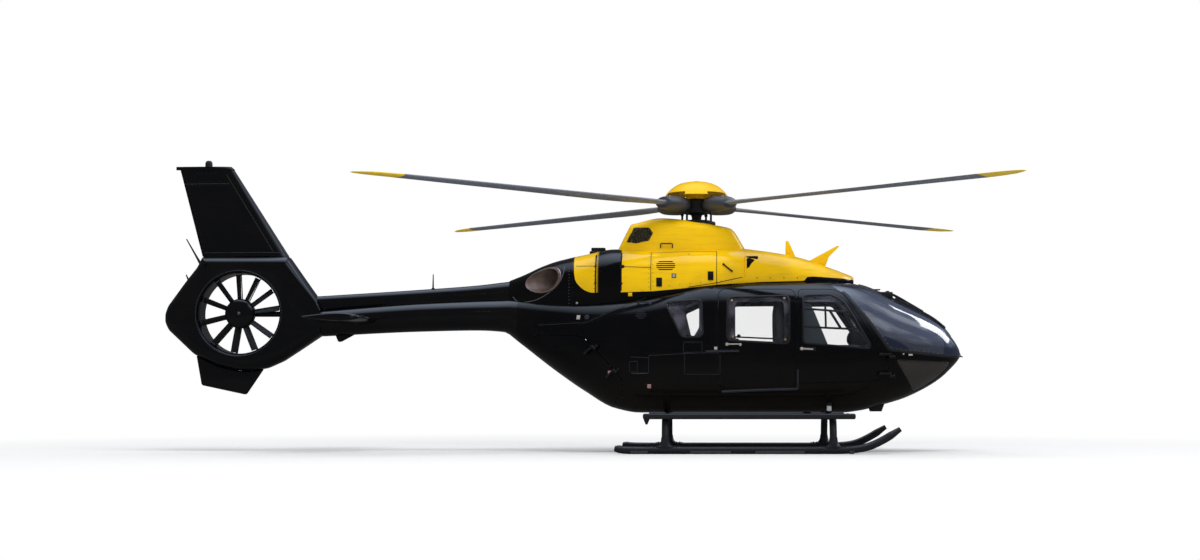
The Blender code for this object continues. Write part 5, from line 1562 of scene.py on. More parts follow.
FUEL_PANEL = ((1.362, 1.246), (1.596, 1.246), (1.596, 1.380), (1.362, 1.380))
LOWER_PANEL = ((1.374, 0.979), (1.818, 0.979), (1.818, 1.240), (1.374, 1.249))
LATCH_PANEL = ((0.690, 1.010), (0.790, 1.010), (0.790, 1.140), (0.690, 1.140))
SIDE_LINES = (
    ((0.930, 1.211), (1.642, 1.249)),
    ((0.930, 0.990), (0.930, 1.211)),
    ((0.700, 1.195), (0.930, 1.185)),
    ((-0.480, 1.603), (0.151, 1.630), (0.602, 1.830), (0.900, 1.945)),
)


def make_seals():
    """Rubber in the gaps round the doors, which the doors close on."""
    middles = [grown(outline, DOOR_GAP / 2 + 0.0012) for outline in (CREW_OUTLINE, SLIDING_OUTLINE)]
    for hand, side in SIDES:
        seals = [side_strip("seal", body_form, middle, side, 0.0045, -0.010, True, 0.034)
                 for middle in middles]
        gather(f"door_seals_{hand}", seals, rubber)


# What can be seen through, inside the windows' surrounds
SLIDING_VIEW = ((2.008, 1.410), (2.625, 1.378), (2.615, 1.895), (2.008, 1.890))
AFT_VIEW = ((1.372, 1.790), (1.450, 1.465), (1.494, 1.455), (1.556, 1.560), (1.556, 1.875))
CREW_VIEW = ((2.853, 1.888), (3.294, 1.888), (3.512, 1.578), (3.667, 1.345), (2.853, 1.345))


def make_inner_frames():
    """Moulded surrounds of the windows, inside the cabin."""
    outer = body_solid("frame_outer", WALL + 0.0005, 4.6, 0.4)
    layer = cut(outer, body_solid("frame_inner", WALL + 0.012, 4.55, 0.45))
    for stem, view, corner in (("crew_window", CREW_VIEW, 0.04),
                               ("sliding_window", SLIDING_VIEW, 0.05),
                               ("aft_window", AFT_VIEW, 0.03)):
        outline, _, body = WINDOWS[stem]
        ring = within("ring", layer, grown(outline, 0.018), material=reveal)
        cut(ring, prism("see_through", rounded(view, corner), SEEN_FROM, SEEN_TO))
        dress_pair(smooth(ring), f"{stem}_frame", body, "floor_panel")
    bpy.data.objects.remove(layer)


def bar(form, a, b, side, depth, radius):
    """A round bar between two side view places, inside the wall."""
    ends = [Vector((x, side * (form.side(x, z) - depth), z)) for x, z in (a, b)]
    middle = (ends[0] + ends[1]) / 2
    middle.y = side * (form.side(middle.x, middle.z) - depth)
    return tube("bar", [ends[0], middle, ends[1]], radius, sides=12)


def make_window_bars():
    """Bars across the starboard crew window, and the fittings of the sliding windows."""
    rows = (((2.852, 1.800), (3.420, 1.757)), ((2.852, 1.570), (3.590, 1.539)),
            ((3.135, 1.550), (3.131, 1.840)))
    bars = [bar(body_form, a, b, -1, 0.030, 0.0135) for a, b in rows]
    bars.append(bar(body_form, (3.190, 1.770), (3.322, 1.550), -1, 0.034, 0.017))
    gather("crew_window_bars", bars, latch_black, "crew_door_right")
    for hand, side in SIDES:
        rail = bar(body_form, (1.960, 1.446), (2.650, 1.414), side, 0.026, 0.010)
        gather(f"sliding_window_rail_{hand}", [rail], latch_black, slot="hub_metal")
        latches = [disc(body_form, x, z, side, 0.015)
                   for x, z in ((1.978, 1.448), (2.628, 1.412), (2.62, 1.930), (1.964, 1.900))]
        gather(f"sliding_window_latches_{hand}", latches, warm_stud, slot="hub_metal")
        knob = disc(body_form, 2.050, 1.452, side, 0.024, 0.010)
        gather(f"sliding_window_knob_{hand}", [knob], latch_black)


def handle(form, x, z, side, length, radius, stand):
    """A pull handle: a bar on two feet."""
    start, start_normal = spot(form, x - length / 2, z, side)
    end, end_normal = spot(form, x + length / 2, z, side)
    corners = [start - start_normal * SUNK, start + start_normal * stand,
               end + end_normal * stand, end - end_normal * SUNK]
    return tube("handle", rounded_path(corners, 0.018, 5), radius, sides=12)


def make_side_details():
    """Panel lines with their screws, door rails, grips, ports and handles."""
    for hand, side in SIDES:
        beads = lines(body_form, side, SIDE_LINES, 0.006, 0.0012)
        beads += lines(body_form, side, (FUEL_PANEL, LOWER_PANEL, LATCH_PANEL), 0.006, 0.0012,
                       True)
        gather(f"panel_lines_{hand}", beads, seam_grey)
        heads = []
        for row, closed in ((FUEL_PANEL, True), (LOWER_PANEL, True),
                            (((1.770, 1.00), (1.770, 2.02)), False), (SIDE_LINES[0], False),
                            (SIDE_LINES[3], False)):
            inner = grown(row, -0.018) if closed else shifted(row, 0, 0.018)
            heads += side_places(body_form, inner, side, 0.042, closed)
        studs(f"panel_screws_{hand}", heads, 0.0045, 0.003, seam_grey)
        # The rails' lighter, bluer enamel is a painted sheen
        rails = lines(body_form, side, (((1.642, 1.262), (2.055, 1.268)),
                                        ((1.840, 0.765), (2.300, 0.785), (2.784, 0.800))),
                      0.034, 0.020)
        rails += lines(body_form, side, (((2.784, 0.800), (2.784, 1.040)),), 0.026, 0.014)
        gather(f"slide_rails_{hand}", rails, black_with_painted_sheen, slot="skid_paint")
        # The grips and slats take the same painted sheen
        grip = [handle(body_form, 0.864, 1.867, side, 0.150, 0.007, 0.024),
                handle(body_form, 0.815, 0.992, side, 0.200, 0.007, 0.020)]
        rows = [((0.760 + end, z), (0.905 - end, z))
                for z, end in ((1.755, 0.03), (1.730, 0.005), (1.705, 0.005), (1.680, 0.03))]
        slats = lines(body_form, side, rows, 0.012, 0.006)
        grip += [disc(body_form, x, 1.867, side, 0.020) for x in (0.789, 0.939)]
        grip.append(disc(body_form, 0.150, 1.695, side, 0.032))
        gather(f"side_grips_{hand}", grip + slats, black_with_painted_sheen)
        ports = [plate(body_form, 1.764, 1.302, side, (0.038, 0.034)),
                 plate(body_form, 0.041, 1.695, side, (0.044, 0.056)),
                 disc(cowl_form, 0.016, 1.882, side, 0.014, 0.004)]
        gather(f"static_ports_{hand}", ports, latch_light, slot="hub_metal")
        vents = [plate(body_form, 0.937, 0.832, side, (0.046, 0.050)),
                 plate(body_form, 0.439, 1.005, side, (0.036, 0.040))]
        gather(f"drain_plates_{hand}", vents, drain_pink, slot="burnt_metal")
        pull = [handle(body_form, 1.985, 1.352, side, 0.150, 0.0075, 0.030),
                disc(body_form, 1.905, 1.352, side, 0.020, 0.008),
                disc(body_form, 2.068, 1.348, side, 0.018, 0.010)]
        gather(f"sliding_handle_{hand}", pull, latch_light, slot="hub_metal")
        lever = [side_strip("lever", body_form, ((2.850, 1.297), (2.975, 1.290)), side, 0.020,
                            0.014),
                 disc(body_form, 2.832, 1.298, side, 0.020, 0.010)]
        gather(f"crew_handle_{hand}", lever, latch_light, f"crew_door_{hand}", "hub_metal")
        recess = plate(body_form, 2.905, 1.293, side, (0.210, 0.050), 0.003)
        gather(f"crew_handle_plate_{hand}", [recess], latch_black, f"crew_door_{hand}")


def make_wipers():
    """The post between the windshields, and the wipers with their motor on it."""
    rings = []
    for x in np.linspace(3.60, 4.78, 24):
        top = body_form.top(x, 0.0)
        rise = 0.012 + 0.014 * math.sin(math.pi * (x - 3.60) / 1.18)
        rings.append([(x, -0.040, top - 0.008), (x, -0.026, top + rise), (x, 0.026, top + rise),
                      (x, 0.040, top - 0.008)])
    pieces = [loft("post", rings)]
    for side in (1, -1):
        arm = [Vector((x, side * y, body_form.top(x, y) + lift))
               for x, y, lift in ((3.97, 0.060, 0.060), (4.08, 0.072, 0.068),
                                  (4.25, 0.090, 0.050), (4.42, 0.100, 0.036))]
        pieces.append(tube("arm", rounded_path(arm, 0.05, 4), 0.010, sides=12))
        blade = [Vector((x, side * y, body_form.top(x, y) + 0.016))
                 for x, y in ((4.06, 0.100), (4.22, 0.104), (4.40, 0.106), (4.56, 0.106),
                              (4.70, 0.100))]
        pieces.append(tube("blade", rounded_path(blade, 0.08, 4), 0.011, sides=8))
        blade = [point + Vector((0, 0, 0.016)) for point in blade]
        pieces.append(tube("spring", rounded_path(blade, 0.08, 4), 0.006, sides=8))
        hub = Vector((3.97, side * 0.060, body_form.top(3.97, 0.06)))
        pieces.append(cylinder("pivot", hub - Vector((0, 0, 0.01)), hub + Vector((0, 0, 0.075)),
                               0.022, bevel=0.005))
    top = body_form.top(3.95, 0.0)
    pieces.append(block("motor", (3.865, -0.085, top - 0.03), (4.035, 0.085, top + 0.052),
                        bevel=0.016))
    pieces.append(block("link", (3.70, -0.018, body_form.top(3.74, 0) - 0.01),
                        (3.88, 0.018, body_form.top(3.86, 0) + 0.040), bevel=0.010))
    gather("wipers", pieces, rubber)


def make_nose_details():
    """Frames round the windshields, and what hangs below the nose."""
    for hand, side in SIDES:
        frame = [((3.360, 2.020), (3.428, 1.958), (3.570, 1.780), (3.712, 1.600), (3.865, 1.385),
                  (3.932, 1.292)),
                 ((3.932, 1.292), (4.300, 1.252), (4.600, 1.222), (4.830, 1.206))]
        strips = lines(body_form, side, frame, 0.045, 0.004)
        gather(f"windshield_frame_{hand}", strips, rubber)
        heads = side_places(body_form, shifted(frame[0], 0.022, 0.012), side, 0.055)
        heads += side_places(body_form, shifted(frame[1][:-1], 0, 0.020), side, 0.060)
        studs(f"windshield_screws_{hand}", heads, 0.0055, 0.004, steel, "hub_metal")
        fitting = [plate(body_form, 4.20, 1.225, side, (0.055, 0.022), 0.010),
                   disc(body_form, 4.11, 1.235, side, 0.010, 0.008)]
        gather(f"nose_fittings_{hand}", fitting, latch_light, slot="hub_metal")
        y = side * 0.60
        z = body_form.below(3.18, y)
        lamp = cylinder("lamp", (3.18, y, z - 0.098), (3.18, y, z - 0.030), 0.030, bevel=0.006)
        gather(f"belly_lamp_{hand}", [lamp], lamp_glass, slot="acrylic")
        cap = cylinder("cap", (3.18, y, z - 0.032), (3.18, y, z + 0.010), 0.038, bevel=0.005)
        gather(f"belly_lamp_base_{hand}", [cap], latch_black)
    make_wipers()
    under = block("camera_mount", (3.706, -0.070, 0.515), (3.919, 0.070, 0.620), bevel=0.014)
    middle = 3.812
    for vertex in under.data.vertices:
        if vertex.co.z < 0.56:
            vertex.co.x = middle + (vertex.co.x - middle) * 0.72
    gather("belly_fairing_nose", [under], skid_black, slot="skid_paint")
    probe = [tube("probe", [(4.875, 0, 1.222), (4.905, 0, 1.220), (4.935, 0, 1.214)],
                  [0.014, 0.012, 0.007], sides=12)]
    probe.append(turned("boss", ((0.004, 0.014), (0.018, 0.013), (0.026, 0.006), (0.028, -0.006),
                                 (0.004, -0.006)), (4.892, 0, 1.236), steps=24, axis=(1, 0, 0)))
    gather("nose_probe", probe, steel, slot="hub_metal")
    profile = ((0.003, 0.020), (0.014, 0.018), (0.024, 0.012), (0.030, 0.002), (0.030, -0.010),
               (0.003, -0.010))
    lens = turned("lens", profile, (4.868, 0, 1.300), steps=28, axis=(1, 0, 0.35))
    gather("nose_lens", [lens], lamp_glass, slot="acrylic")
    housing = ((0.003, -0.010), (0.034, -0.010), (0.044, -0.004), (0.050, 0.012), (0.055, 0.040),
               (0.058, 0.085), (0.003, 0.085))
    gather("belly_lamp_housing", [turned("lamp", housing, BELLY_LAMP, steps=40)], latch_black)
    profile = ((0.003, -0.004), (0.030, -0.003), (0.040, 0.004), (0.046, 0.016), (0.003, 0.016))
    glass = turned("glass", profile, BELLY_LAMP - Vector((0, 0, 0.008)), steps=40)
    gather("belly_lamp_lens", [glass], lamp_glass, slot="acrylic")


def hinge_half(point, axis, reach, low, high):
    """A knuckle and its tapered arm, in the frame of its hinge: X to the fixed side, Y outwards."""
    outwards = Vector((0, 1, 0))
    turn = Matrix((outwards.cross(axis), outwards, axis)).transposed().to_4x4()
    place_ = Matrix.Translation(point) @ turn
    heel = reach - math.copysign(0.045, reach)
    middle = place_ @ Vector((heel, 0, (low + high) / 2))
    depth = middle.y - body_form.side(middle.x, middle.z)
    knuckle = cylinder("knuckle", (0, 0, low), (0, 0, high), 0.018, bevel=0.002)
    arm = block("arm", (0.0, -0.012, low + 0.003), (heel, 0.013, high - 0.003), bevel=0.004)
    foot = block("foot", (heel - math.copysign(0.006, reach), -depth - 0.012, low - 0.001),
                 (reach, 0.012, high + 0.001), bevel=0.005)
    for vertex in foot.data.vertices:
        if vertex.co.y > 0:
            vertex.co.y = max(-depth + 0.010, vertex.co.y - 0.004)
    pieces = [knuckle, arm, foot]
    for piece in pieces:
        piece.data.transform(place_)
    return merged("hinge_half", pieces, latch_black)


def make_hinges():
    """The outside hinges of the crew and clamshell doors, and the sliding doors' shoes."""
    kinds = (("crew_door", CREW_HINGE, CREW_AXIS, CREW_HINGE_STARTS),
             ("clamshell", CLAMSHELL_HINGE, CLAMSHELL_AXIS, CLAMSHELL_HINGE_STARTS))
    for stem, point, axis, starts in kinds:
        fixed, moving = [], []
        for start in starts:
            foot = point + axis * start
            fixed.append(hinge_half(foot, axis, FIXED_REACH, 0.0, KNUCKLE_LENGTH))
            moving.append(hinge_half(foot, axis, -DOOR_REACH, KNUCKLE_LENGTH + GAP,
                                     2 * KNUCKLE_LENGTH))
            fixed.append(cylinder("pin", foot - axis * 0.004, foot + axis * 0.064, 0.008, sides=20,
                                  bevel=0.002))
        for kind, halves, body in (("fixed", fixed, AIRFRAME), ("moving", moving, stem + "_{}")):
            half = smooth(merged("half", halves, latch_black))
            dress_pair(half, f"{stem}_hinge_{kind}", body, "black_paint")
    for hand, side in SIDES:
        sill = SLIDING_DOOR[0][1] - DOOR_GAP + GAP
        shoes = [block("shoe", (x - 0.05, side * 0.692, sill),
                       (x + 0.05, side * 0.722, sill + 0.035), bevel=0.004) for x in SHOE_X]
        gather(f"slide_shoes_{hand}", shoes, rubber)


# Details of the roof

LOUVRE = (1.135, 2.348)
GRILLE = ((0.723, 2.846), (0.916, 2.846), (0.966, 2.778), (0.916, 2.681), (0.751, 2.646),
          (0.634, 2.668))
COWL_LINES = (
    ((0.949, 2.036), (0.949, 2.525)), ((1.776, 2.109), (1.776, 2.540)),
    ((0.000, 2.348), (0.256, 2.345)), ((0.559, 2.336), (0.949, 2.323)),
    ((0.949, 2.520), (1.360, 2.535), (1.780, 2.540)),
    ((1.420, 2.075), (1.800, 2.135), (2.100, 2.205)),
)
COWL_DISCS = (
    (0.596, 2.336, 0.022, 0.008), (0.252, 2.345, 0.014, 0.006), (0.252, 2.470, 0.012, 0.006),
    (0.252, 2.130, 0.014, 0.006), (0.575, 2.470, 0.014, 0.006), (0.575, 2.120, 0.018, 0.006),
    (1.420, 2.500, 0.006, 0.004),
)
BAND_LINES = (((0.252, 2.010), (0.252, 2.500)), ((0.575, 2.030), (0.575, 2.520)))


def make_cowl_details():
    """Seams, latches, louvres, struts, screws and grips of the cowlings."""
    for hand, side in SIDES:
        gather(f"cowl_lines_{hand}", lines(cowl_form, side, COWL_LINES, 0.009, 0.0012), seam_dark,
               slot="yellow_paint")
        gather(f"band_lines_{hand}", lines(cowl_form, side, BAND_LINES, 0.018, 0.0014), soot_and_painted_shade)
        latches = []
        for x, z in ((1.054, 2.138), (1.700, 2.218)):
            latches.append(plate(cowl_form, x, z, side, (0.072, 0.112), 0.006))
            latches.append(plate(cowl_form, x, z + 0.01, side, (0.040, 0.050), 0.016, 0.004))
        latches += [disc(cowl_form, x, z, side, radius, thick)
                    for x, z, radius, thick in COWL_DISCS]
        gather(f"cowl_latches_{hand}", latches, latch_black)
        lock = plate(cowl_form, 1.239, 2.218, side, (0.034, 0.034), 0.008)
        gather(f"cowl_lock_{hand}", [lock], latch_light, slot="hub_metal")
        around = plate(cowl_form, 1.239, 2.218, side, (0.058, 0.056), 0.004)
        gather(f"cowl_lock_plate_{hand}", [around], seam_light)
        tabs = [plate(cowl_form, 0.690, 1.985, side, (0.050, 0.044), 0.012),
                plate(cowl_form, 0.840, 2.045, side, (0.030, 0.034), 0.010)]
        gather(f"cowl_tabs_{hand}", tabs, yellow, slot="yellow_paint")
        # The louvre's slots are raised near-black strips: painted shade, not openings
        slots = []
        for i in range(-2, 3):
            z = LOUVRE[1] + i * 0.0255
            half = 0.122 * math.sqrt(1 - (i / 2.9) ** 2)
            slots.append(((LOUVRE[0] - half, z), (LOUVRE[0] + half, z)))
        gather(f"louvre_slots_{hand}", lines(cowl_form, side, slots, 0.015, 0.0015), soot_and_painted_shade)
        rod = bar(cowl_form, (1.856, 2.369), (1.969, 2.277), side, -0.012, 0.009)
        gather(f"cowl_strut_{hand}", [rod, disc(cowl_form, 1.862, 2.364, side, 0.014, 0.012),
                                      disc(cowl_form, 1.966, 2.280, side, 0.012, 0.012)],
               latch_black)
        heads = []
        for x, low, high in ((-0.040, 1.66, 2.42), (0.235, 2.03, 2.49), (0.580, 2.05, 2.52),
                             (0.925, 2.05, 2.52), (0.972, 2.06, 2.52)):
            heads += side_places(cowl_form, ((x, low), (x, high)), side, 0.055)
        heads += side_places(cowl_form, ((0.99, 2.075), (1.72, 2.150), (2.05, 2.155)), side, 0.13)
        studs(f"cowl_screws_{hand}", heads, 0.0055, 0.003, seam_dark, "yellow_paint")
        heads = side_places(roof_form, ((2.20, 2.20), (2.80, 2.20), (3.20, 2.20)), side, 0.17)
        studs(f"fairing_screws_{hand}", heads, 0.008, 0.004, seam_dark, "yellow_paint")
        grip = []
        for x, z in ((1.065, 2.590), (1.065, 2.640), (1.215, 2.640), (1.215, 2.590)):
            reach = 0.004 if z < 2.6 else 0.030
            y = hump_form.side(x, max(z, 2.52)) + reach
            grip.append(Vector((x, side * y, z)))
        inner = [Vector((p.x, p.y - side * 0.02, p.z)) for p in (grip[0], grip[-1])]
        path = rounded_path([inner[0], *grip, inner[1]], 0.02, 5)
        gather(f"roof_handle_{hand}", [tube("grip", path, 0.0075, sides=12)], latch_black)
    hump_shell = cut(form_loft("hump_shell", hump_form, -0.0025, count=80),
                     form_loft("hump_in", hump_form, 0.004, count=80))
    mesh = within("mesh", hump_shell, grown(GRILLE, 0.004), 0.1, 0.6, grille_mesh)
    bpy.data.objects.remove(hump_shell)
    dress_pair(smooth(mesh), "hump_grille", AIRFRAME, "hub_metal")
    around = rounded(grown(GRILLE, 0.006), 0.012)
    for hand, side in SIDES:
        rim = lines(hump_form, side, [around], 0.012, 0.0025, True)
        gather(f"grille_rim_{hand}", rim, yellow, slot="yellow_paint")
    beacon = [block("beacon", (0.165, -0.055, 2.50), (0.345, 0.055, 2.615), bevel=0.010),
              block("beacon_base", (0.145, -0.070, 2.50), (0.365, 0.070, 2.568), bevel=0.008)]
    gather("roof_beacon_box", beacon, latch_black)


def intake_outline():
    return rounded(((2.150, 2.448), (2.190, 2.456), (2.262, 2.428), (2.214, 2.382),
                    (2.186, 2.330), (2.150, 2.315)), 0.012, 4)


def make_intakes():
    """Dark throats behind the air intakes, near-black blocks of painted shade, and the lips round
    their openings.
    """
    for hand, side in SIDES:
        # Painted shade: a near-black block that makes the intake read dark inside
        throat = block("throat", (2.130, side * 0.30, 2.29), (2.30, side * 0.405, 2.48),
                       bevel=0.01)
        gather(f"intake_throat_{hand}", [throat], soot_and_painted_shade)
        lip = [(2.142, side * (roof_form.side(2.142, z) - 0.006), z)
               for z in np.linspace(2.225, 2.478, 16)]
        gather(f"intake_lip_{hand}", [tube("lip", lip, 0.014, sides=16)], yellow,
               slot="yellow_paint")


# Details of the exhausts and the tail

EXHAUST_EDGE = (
    (-0.150, 2.345), (-0.153, 2.300), (-0.178, 2.188), (-0.240, 2.095), (-0.342, 2.015),
    (-0.460, 1.945), (-0.596, 1.907), (-0.700, 1.900), (-0.778, 1.920), (-0.825, 1.975),
)


def make_exhaust_details():
    """Rims where the pipes leave the fairing, found by halving, and the fairing's seams."""
    u = EXHAUST_DIRECTION.orthogonal().normalized()
    v = EXHAUST_DIRECTION.cross(u)
    for hand, side in SIDES:
        flip = Vector((1, side, 1))
        path = []
        for angle in circle(72):
            outwards = u * math.cos(angle) + v * math.sin(angle)
            ray = EXHAUST_MOUTH + outwards * (EXHAUST_RADIUS + 0.003)
            low, high = -0.34, 0.36
            for _ in range(30):
                middle = (low + high) / 2
                point = ray + EXHAUST_DIRECTION * middle
                if tail_form.rear < point.x < tail_form.front and tail_form.holds(point, -0.004):
                    low = middle
                else:
                    high = middle
            path.append((ray + EXHAUST_DIRECTION * low) * flip)
        rim = tube("rim", path, 0.010, sides=12, closed=True)
        gather(f"exhaust_rim_{hand}", [rim], pink_lip, slot="burnt_metal")
        edge = side_strip("edge", tail_form, rounded_line(EXHAUST_EDGE), side, 0.010, 0.003)
        gather(f"exhaust_edge_{hand}", [edge], seam_light)
        heads = side_places(tail_form, ((-0.085, 1.66), (-0.085, 2.38)), side, 0.040)
        heads += side_places(tail_form, ((-0.70, 1.80), (-0.30, 1.68), (-0.10, 1.66)), side, 0.060)
        studs(f"exhaust_screws_{hand}", heads, 0.006, 0.003, seam_light, "hub_metal")


def rounded_line(line):
    """A polyline eased through the middles of its sides."""
    points = [Vector(p) for p in line]
    eased_line = [points[0]]
    for before, corner, after in zip(points, points[1:], points[2:]):
        start, end = (before + corner) / 2, (corner + after) / 2
        eased_line += bend(start, corner, end, 4)
    return eased_line + [points[-1]]


class FinSide:
    """The fin's side, in the form that strips and studs ask for."""

    def side(self, x, z):
        """Half the fin's thickness at a place of its side view."""
        share_up = (z - FIN_ROOT[2]) / (FIN_TIP[2] - FIN_ROOT[2])
        trailing, leading, _, thickness = fin_at(share_up)
        share = min(max((leading - x) / (leading - trailing), 0.0), 1.0)
        return airfoil_half(share, thickness)

    def outwards(self, x, z, side):
        e = 0.01
        along = (self.side(x + e, z) - self.side(x - e, z)) / (2 * e)
        return Vector((-along, side, 0)).normalized()


FIN_PANEL = ((-4.540, 3.560), (-3.915, 2.560))


def make_tail_details():
    """Seams and screws of the fin, lamps, static rods, and the bolts of the fan."""
    fin = FinSide()
    for hand, side in SIDES:
        edges = lines(fin, side, (FIN_PANEL, ((-5.085, 3.440), (-4.500, 3.440)),
                                  ((-4.820, 2.550), (-3.800, 2.550))), 0.008, 0.0016)
        gather(f"fin_lines_{hand}", edges, seam_grey)
        heads = []
        for line, pitch in ((((-5.080, 3.56), (-4.810, 2.58)), 0.055),
                            (((-5.06, 3.465), (-4.60, 3.465)), 0.045),
                            (((-5.05, 3.415), (-4.57, 3.415)), 0.045),
                            (((-4.95, 3.575), (-4.66, 3.575)), 0.060)):
            heads += side_places(fin, line, side, pitch)
        studs(f"fin_screws_{hand}", heads, 0.005, 0.003, seam_grey)
        lamp = block("lamp", (-2.700, side * 1.305, 1.658), (-2.630, side * 1.3245, 1.688),
                     bevel=0.007)
        gather(f"stabiliser_lamp_{hand}", [lamp], screen_dark, slot="acrylic")
    rods = [tube("rod", [(-4.835, 0, 2.360), (-4.875, 0, 2.425), (-4.930, 0, 2.520),
                         (-5.052, 0, 2.729)], [0.022, 0.017, 0.012, 0.007], sides=12),
            tube("rod", [(-4.985, 0, 2.150), (-5.010, 0, 2.185), (-5.049, 0, 2.269)],
                 [0.018, 0.014, 0.007], sides=12)]
    gather("static_rods", rods, rubber)
    # A thin ring of the sheen enamel round the duct's lip: a painted highlight
    ring = [DUCT + Vector((LIP_RADIUS * math.cos(a), -SHROUD_HALF, LIP_RADIUS * math.sin(a)))
            for a in circle(96)]
    gather("duct_rim", [tube("rim", ring, 0.005, sides=10, closed=True)], black_with_painted_sheen)
    profile = ((0.003, 0.006), (0.016, 0.005), (0.020, 0.001), (0.020, -0.004), (0.003, -0.004))
    cap = turned("cap", profile, DUCT + Vector((0, -0.150, 0)), steps=24, axis=(0, -1, 0))
    gather("fan_cap", [cap], steel, "tail_fan", "hub_metal")
    bolts = []
    for a in circle(12):
        foot = DUCT + Vector((0.162 * math.cos(a), 0.02, 0.162 * math.sin(a)))
        bolts.append(cylinder("bolt", foot, foot + Vector((0, -0.018, 0)), 0.009, sides=6))
    gather("gearbox_bolts", bolts, steel, slot="hub_metal")


# Details of the landing gear

def make_gear_details():
    """Treads on the steps, wear shoes under the skids, and the bolts of the saddles."""
    cone = cylinder("cone", (0.915, -0.997, 0.43), (0.915, -0.997, 0.36), 0.040, sides=24,
                    end_radius=0.012, bevel=0.004)
    gather("step_foot", [cone], skid_black, slot="skid_paint")
    for hand, side in SIDES:
        track = side * HALF_TRACK
        grips = []
        for x in np.arange(0.95, 3.42, 0.055):
            grips.append(block("tread", (x, side * 0.9975 - 0.045, 0.494),
                               (x + 0.028, side * 0.9975 + 0.045, 0.4985), bevel=0.001))
        gather(f"step_tread_{hand}", grips, rubber, slot="skid_paint")
        shoes = []
        for low, high in ((0.72, 0.93), (1.45, 1.95), (2.25, 2.85), (3.40, 3.46)):
            shoe = tube("shoe", [(low, track, 0.0485), (high, track, 0.0485)], 0.0505, sides=24)
            shoes.append(cut(
                shoe, block("above", (-1, track - 0.2, 0.040), (5, track + 0.2, 0.2)),
                block("under", (-1, track - 0.2, -0.2), (5, track + 0.2, 0.0004))))
        gather(f"skid_shoes_{hand}", shoes, steel, slot="skid_paint")
        bolts = []
        for x in CROSS_TUBES_X:
            for dx in (-0.14, -0.10, 0.10, 0.14):
                for dy in (-0.040, 0.040):
                    foot = Vector((x + dx, track + dy, 0.085))
                    bolts.append(cylinder("bolt", foot, foot + Vector((0, 0, 0.022)), 0.008,
                                          sides=6))
        gather(f"saddle_bolts_{hand}", bolts, dark_steel, slot="hub_metal")


# Cabin inside

def pad_mesh(name, size, material):
    """A closed pad with eased edges, as fine as the cloth needs."""
    half = Vector(size) / 2
    pad = block(name, -half, half, material, min(size) * 0.28, 3)
    remesh = pad.modifiers.new("Remesh", "REMESH")
    remesh.mode = "VOXEL"
    remesh.voxel_size = 0.008
    return baked(pad)


def puffed(pad, cap=0.012):
    """Blows a pad up as cloth. No point moves further than the cap."""
    before = [vertex.co.copy() for vertex in pad.data.vertices]
    cloth_sim = pad.modifiers.new("Cloth", "CLOTH")
    settings = cloth_sim.settings
    settings.quality = 4
    settings.use_pressure = True
    settings.uniform_pressure_force = 4.0
    settings.effector_weights.gravity = 0.0
    for number in range(1, 21):
        bpy.context.scene.frame_set(number)
    baked(pad)
    bpy.context.scene.frame_set(1)
    for vertex, start in zip(pad.data.vertices, before):
        move = vertex.co - start
        if move.length > cap:
            vertex.co = start + move.normalized() * cap
    return pad


def channelled(pad, places, depth, spread_over=0.012):
    """Presses sewn channels into both faces of a pad, across its Y, at the given places."""
    for vertex in pad.data.vertices:
        pull = max(math.exp(-((vertex.co.y - y) / spread_over) ** 2) for y in places)
        share = min(1.0, abs(vertex.co.z) / 0.02)
        vertex.co.z -= math.copysign(depth * pull * share, vertex.co.z)


def welt(pad, size, share):
    """A sewn edge round a pad, found on its side at a share of its half thickness."""
    x, y, z = (v / 2 for v in size)
    tree = BVHTree.FromPolygons([v.co for v in pad.data.vertices],
                                [list(p.vertices) for p in pad.data.polygons])
    outline = resampled(rounded(((-x, -y), (x, -y), (x, y), (-x, y)), 0.06, 8), 0.02, True)
    path = []
    for point in outline:
        middle = Vector((point.x * 0.3, point.y * 0.3, z * share))
        outside = Vector((point.x * 1.3, point.y * 1.3, z * share))
        hit = tree.ray_cast(outside, (middle - outside).normalized())[0]
        if hit is not None:
            path.append(hit)
    return tube("welt", path, 0.004, sides=8, closed=True)


def webbing_strap(path, width=0.046, thick=0.0025):
    """A flat strap along a path, lying square to the middle of the cabin."""
    path = [Vector(p) for p in path]
    rings = []
    for point, tangent in zip(path, tangents(path)):
        across = (Vector((0, 1, 0)) - tangent * tangent.y).normalized()
        normal = tangent.cross(across)
        rings.append([point + across * (a * width / 2) + normal * (b * thick / 2)
                      for a, b in ((-1, -1), (1, -1), (1, 1), (-1, 1))])
    return loft("strap", rings)


# The sizes of a seat's pan, back and head rest, and how far its back leans
PAN = (0.445, 0.440, 0.085)
BACK = (0.640, 0.430, 0.075)
REST = (0.150, 0.240, 0.080)
LEAN = math.radians(12.5)


def soft_forms():
    """One pan, one back and one head rest, blown up once and then shared by the seats."""
    pan = puffed(pad_mesh("pan_form", Vector(PAN) * 0.965, cloth))
    back = puffed(pad_mesh("back_form", Vector(BACK) * 0.965, cloth))
    rest = puffed(pad_mesh("rest_form", Vector(REST) * 0.96, cloth), 0.008)
    channelled(pan, (-0.11, 0.11), 0.008)
    channelled(back, (-0.10, 0.10), 0.008)
    return pan, back, rest


def seat_places(x, y, scale_y):
    """Where a seat's pan, back and head rest go, as matrices."""
    places = (((0.205, 0.345), -0.07), ((-0.050, 0.690), -(math.pi / 2 + LEAN)),
              ((-0.140, 1.105), -(math.pi / 2 + LEAN)))
    return [Matrix.Translation((x + ahead, y, FLOOR_Z + up)) @ Matrix.Rotation(turn, 4, "Y")
            @ Matrix.Scale(scale_y, 4, (0, 1, 0)) for (ahead, up), turn in places]


